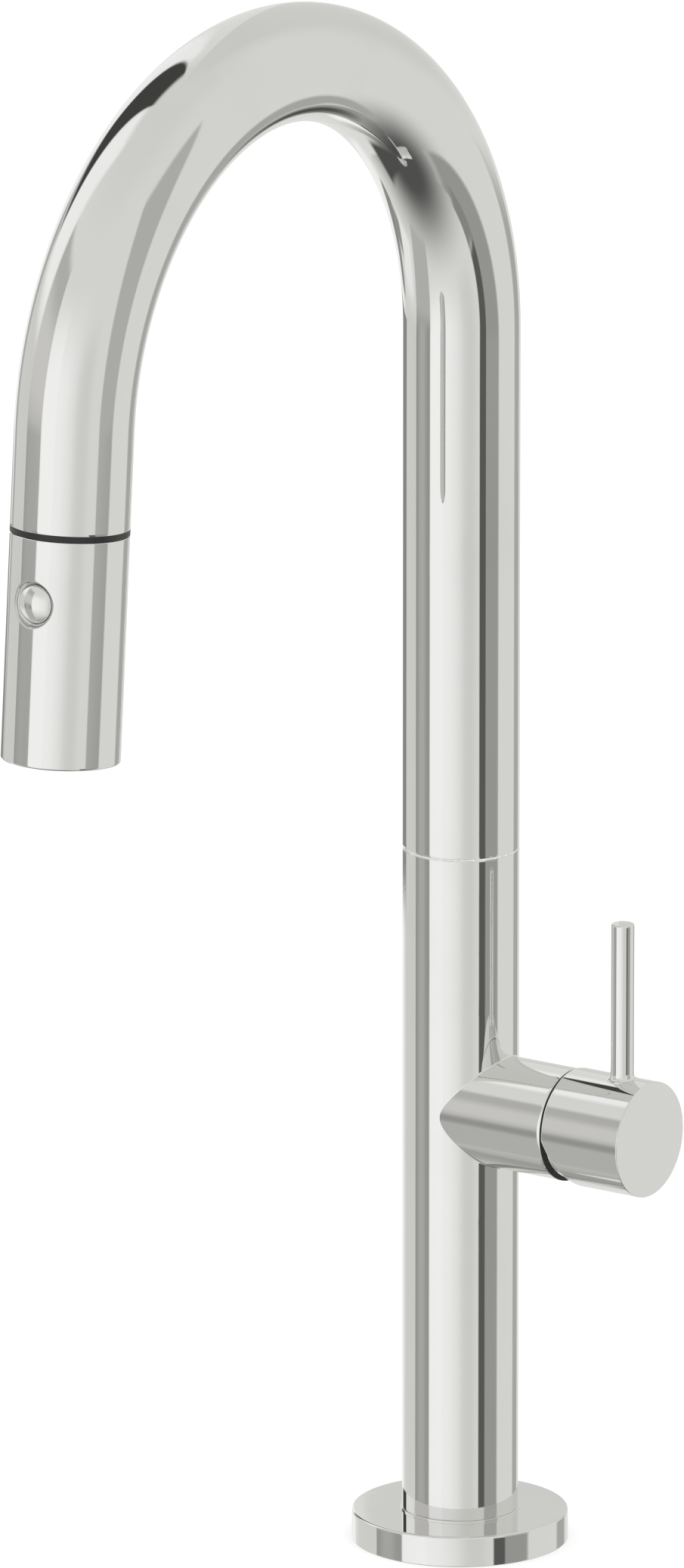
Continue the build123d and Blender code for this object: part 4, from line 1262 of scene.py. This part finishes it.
def make_world(studio):
    """A pale room with soft panels in it for the reflections, and plain white behind and under the faucet."""
    make_panel_group()
    world = bpy.data.worlds.new("studio_room")
    bpy.context.scene.world = world
    world.use_nodes = True
    tree = world.node_tree
    tree.nodes.clear()
    way = add(tree, "ShaderNodeTexCoord").outputs["Generated"]
    sine, cosine = math.sin(studio.camera_turn), math.cos(studio.camera_turn)
    towards, right = (
        add(tree, "ShaderNodeVectorMath", way, axis, operation="DOT_PRODUCT").outputs["Value"]
        for axis in ((sine, -cosine, 0), (cosine, sine, 0))
    )
    turned = maths(tree, "DEGREES", maths(tree, "ARCTAN2", right, towards))
    up = add(tree, "ShaderNodeSeparateXYZ", way).outputs[2]
    rise = maths(tree, "DEGREES", maths(tree, "ARCSINE", up))
    field = levelled(TINTS["pale"], studio.field)
    light = mixed(tree, ramped(tree, rise, *ROOM_FOOT), levelled(field, FOOT_LEVEL), field)
    light = mixed(tree, ramped(tree, rise, *ROOM_TOP), light, levelled(field, TOP_LEVEL))
    for name, level, colour, *shape in PANELS:
        panel = grouped(tree, "Studio panel", turned, rise, *shape)
        panel.label = name
        light = mixed(tree, panel.outputs[0], light, levelled(TINTS[colour], level))
    paths = add(tree, "ShaderNodeLightPath").outputs
    plain = maths(tree, "MAXIMUM", paths["Is Camera Ray"], paths["Is Diffuse Ray"])
    room = add(tree, "ShaderNodeBackground", light)
    white = add(tree, "ShaderNodeBackground", (1, 1, 1, 1), PLAIN_LEVEL)
    shown = add(tree, "ShaderNodeMixShader", plain, room.outputs[0], white.outputs[0])
    add(tree, "ShaderNodeOutputWorld", shown.outputs[0])


def aim(piece, way):
    """Turns a light or a camera to a direction."""
    piece.rotation_euler = way.to_track_quat("-Z", "Y").to_euler()


class FAUCET_OT_stage(bpy.types.Operator):
    """The pale floor, the soft light and the camera"""

    bl_idname = "faucet.stage"
    bl_label = "Stage"

    def execute(self, context):
        studio = context.scene.faucet_studio
        make_world(studio)
        context.scene.view_settings.view_transform = "Standard"

        start_clean()
        bpy.ops.mesh.primitive_grid_add(x_subdivisions=40, y_subdivisions=40, size=80)
        floor = named("pale_floor")
        tree, shader, place = new_material("floor")
        colour = tuple(studio.floor)
        feed(tree, shader["Base Color"], mixed(
            tree, noise(tree, place, 0.6, 2.0), levelled(colour, 0.985), colour
        ))
        for name, value in (
            ("Roughness", 0.95), ("Specular IOR Level", 0.0), ("Emission Color", (*colour, 1)),
            ("Emission Strength", 0.62),
        ):
            shader[name].default_value = value
        floor.data.materials.append(bpy.data.materials["floor_finish"])
        floor.visible_glossy = False

        bpy.ops.object.light_add(type="AREA", location=(1.6, -1.2, 3.0))
        soft = bpy.context.object
        soft.name = "soft_overhead"
        soft.data.shape = "DISK"
        soft.data.size = 3.0
        soft.data.energy = 12
        soft.visible_glossy = False
        aim(soft, Vector((0, -0.1, 0.25)) - soft.location)

        turned, dip = studio.camera_turn, studio.camera_dip
        bpy.ops.object.camera_add(location=tuple(studio.camera_place))
        camera = bpy.context.object
        camera.name = "camera"
        level = math.cos(dip)
        aim(camera, Vector((-math.sin(turned) * level, math.cos(turned) * level, -math.sin(dip))))
        camera.data.lens = studio.lens
        camera.data.sensor_width = 36
        camera.data.clip_start, camera.data.clip_end = 0.1, 200
        context.scene.camera = camera
        return {"FINISHED"}


OPERATORS = (
    FAUCET_OT_finishes, FAUCET_OT_deck_flange, FAUCET_OT_deck_shank, FAUCET_OT_lower_column, FAUCET_OT_spout,
    FAUCET_OT_handle_dome, FAUCET_OT_handle_cap, FAUCET_OT_lever, FAUCET_OT_docking_ring,
    FAUCET_OT_spray_shell, FAUCET_OT_spray_button, FAUCET_OT_spray_face, FAUCET_OT_spray_neck,
    FAUCET_OT_hoses, FAUCET_OT_stage,
)


class FAUCET_PT_panel(bpy.types.Panel):
    """The faucet's sizes, colours and steps"""

    bl_idname = "FAUCET_PT_panel"
    bl_label = "Faucet"
    bl_space_type = "VIEW_3D"
    bl_region_type = "UI"
    bl_category = "Faucet"

    def draw(self, context):
        for group in (context.scene.faucet_sizes, context.scene.faucet_colours, context.scene.faucet_studio):
            box = self.layout.box()
            for name in group.__annotations__:
                box.prop(group, name)
        for operator in OPERATORS:
            self.layout.operator(operator.bl_idname)


GROUPS = {"faucet_sizes": FaucetSizes, "faucet_colours": FaucetColours, "faucet_studio": FaucetStudio}


def register():
    for cls in (*GROUPS.values(), *OPERATORS, FAUCET_PT_panel):
        bpy.utils.register_class(cls)
    for name, group in GROUPS.items():
        setattr(bpy.types.Scene, name, bpy.props.PointerProperty(type=group))


def unregister():
    for name in GROUPS:
        delattr(bpy.types.Scene, name)
    for cls in reversed((*GROUPS.values(), *OPERATORS, FAUCET_PT_panel)):
        bpy.utils.unregister_class(cls)


def main():
    register()
    for operator in OPERATORS:
        group, name = operator.bl_idname.split(".")
        getattr(getattr(bpy.ops, group), name)()


if __name__ == "__main__":
    main()
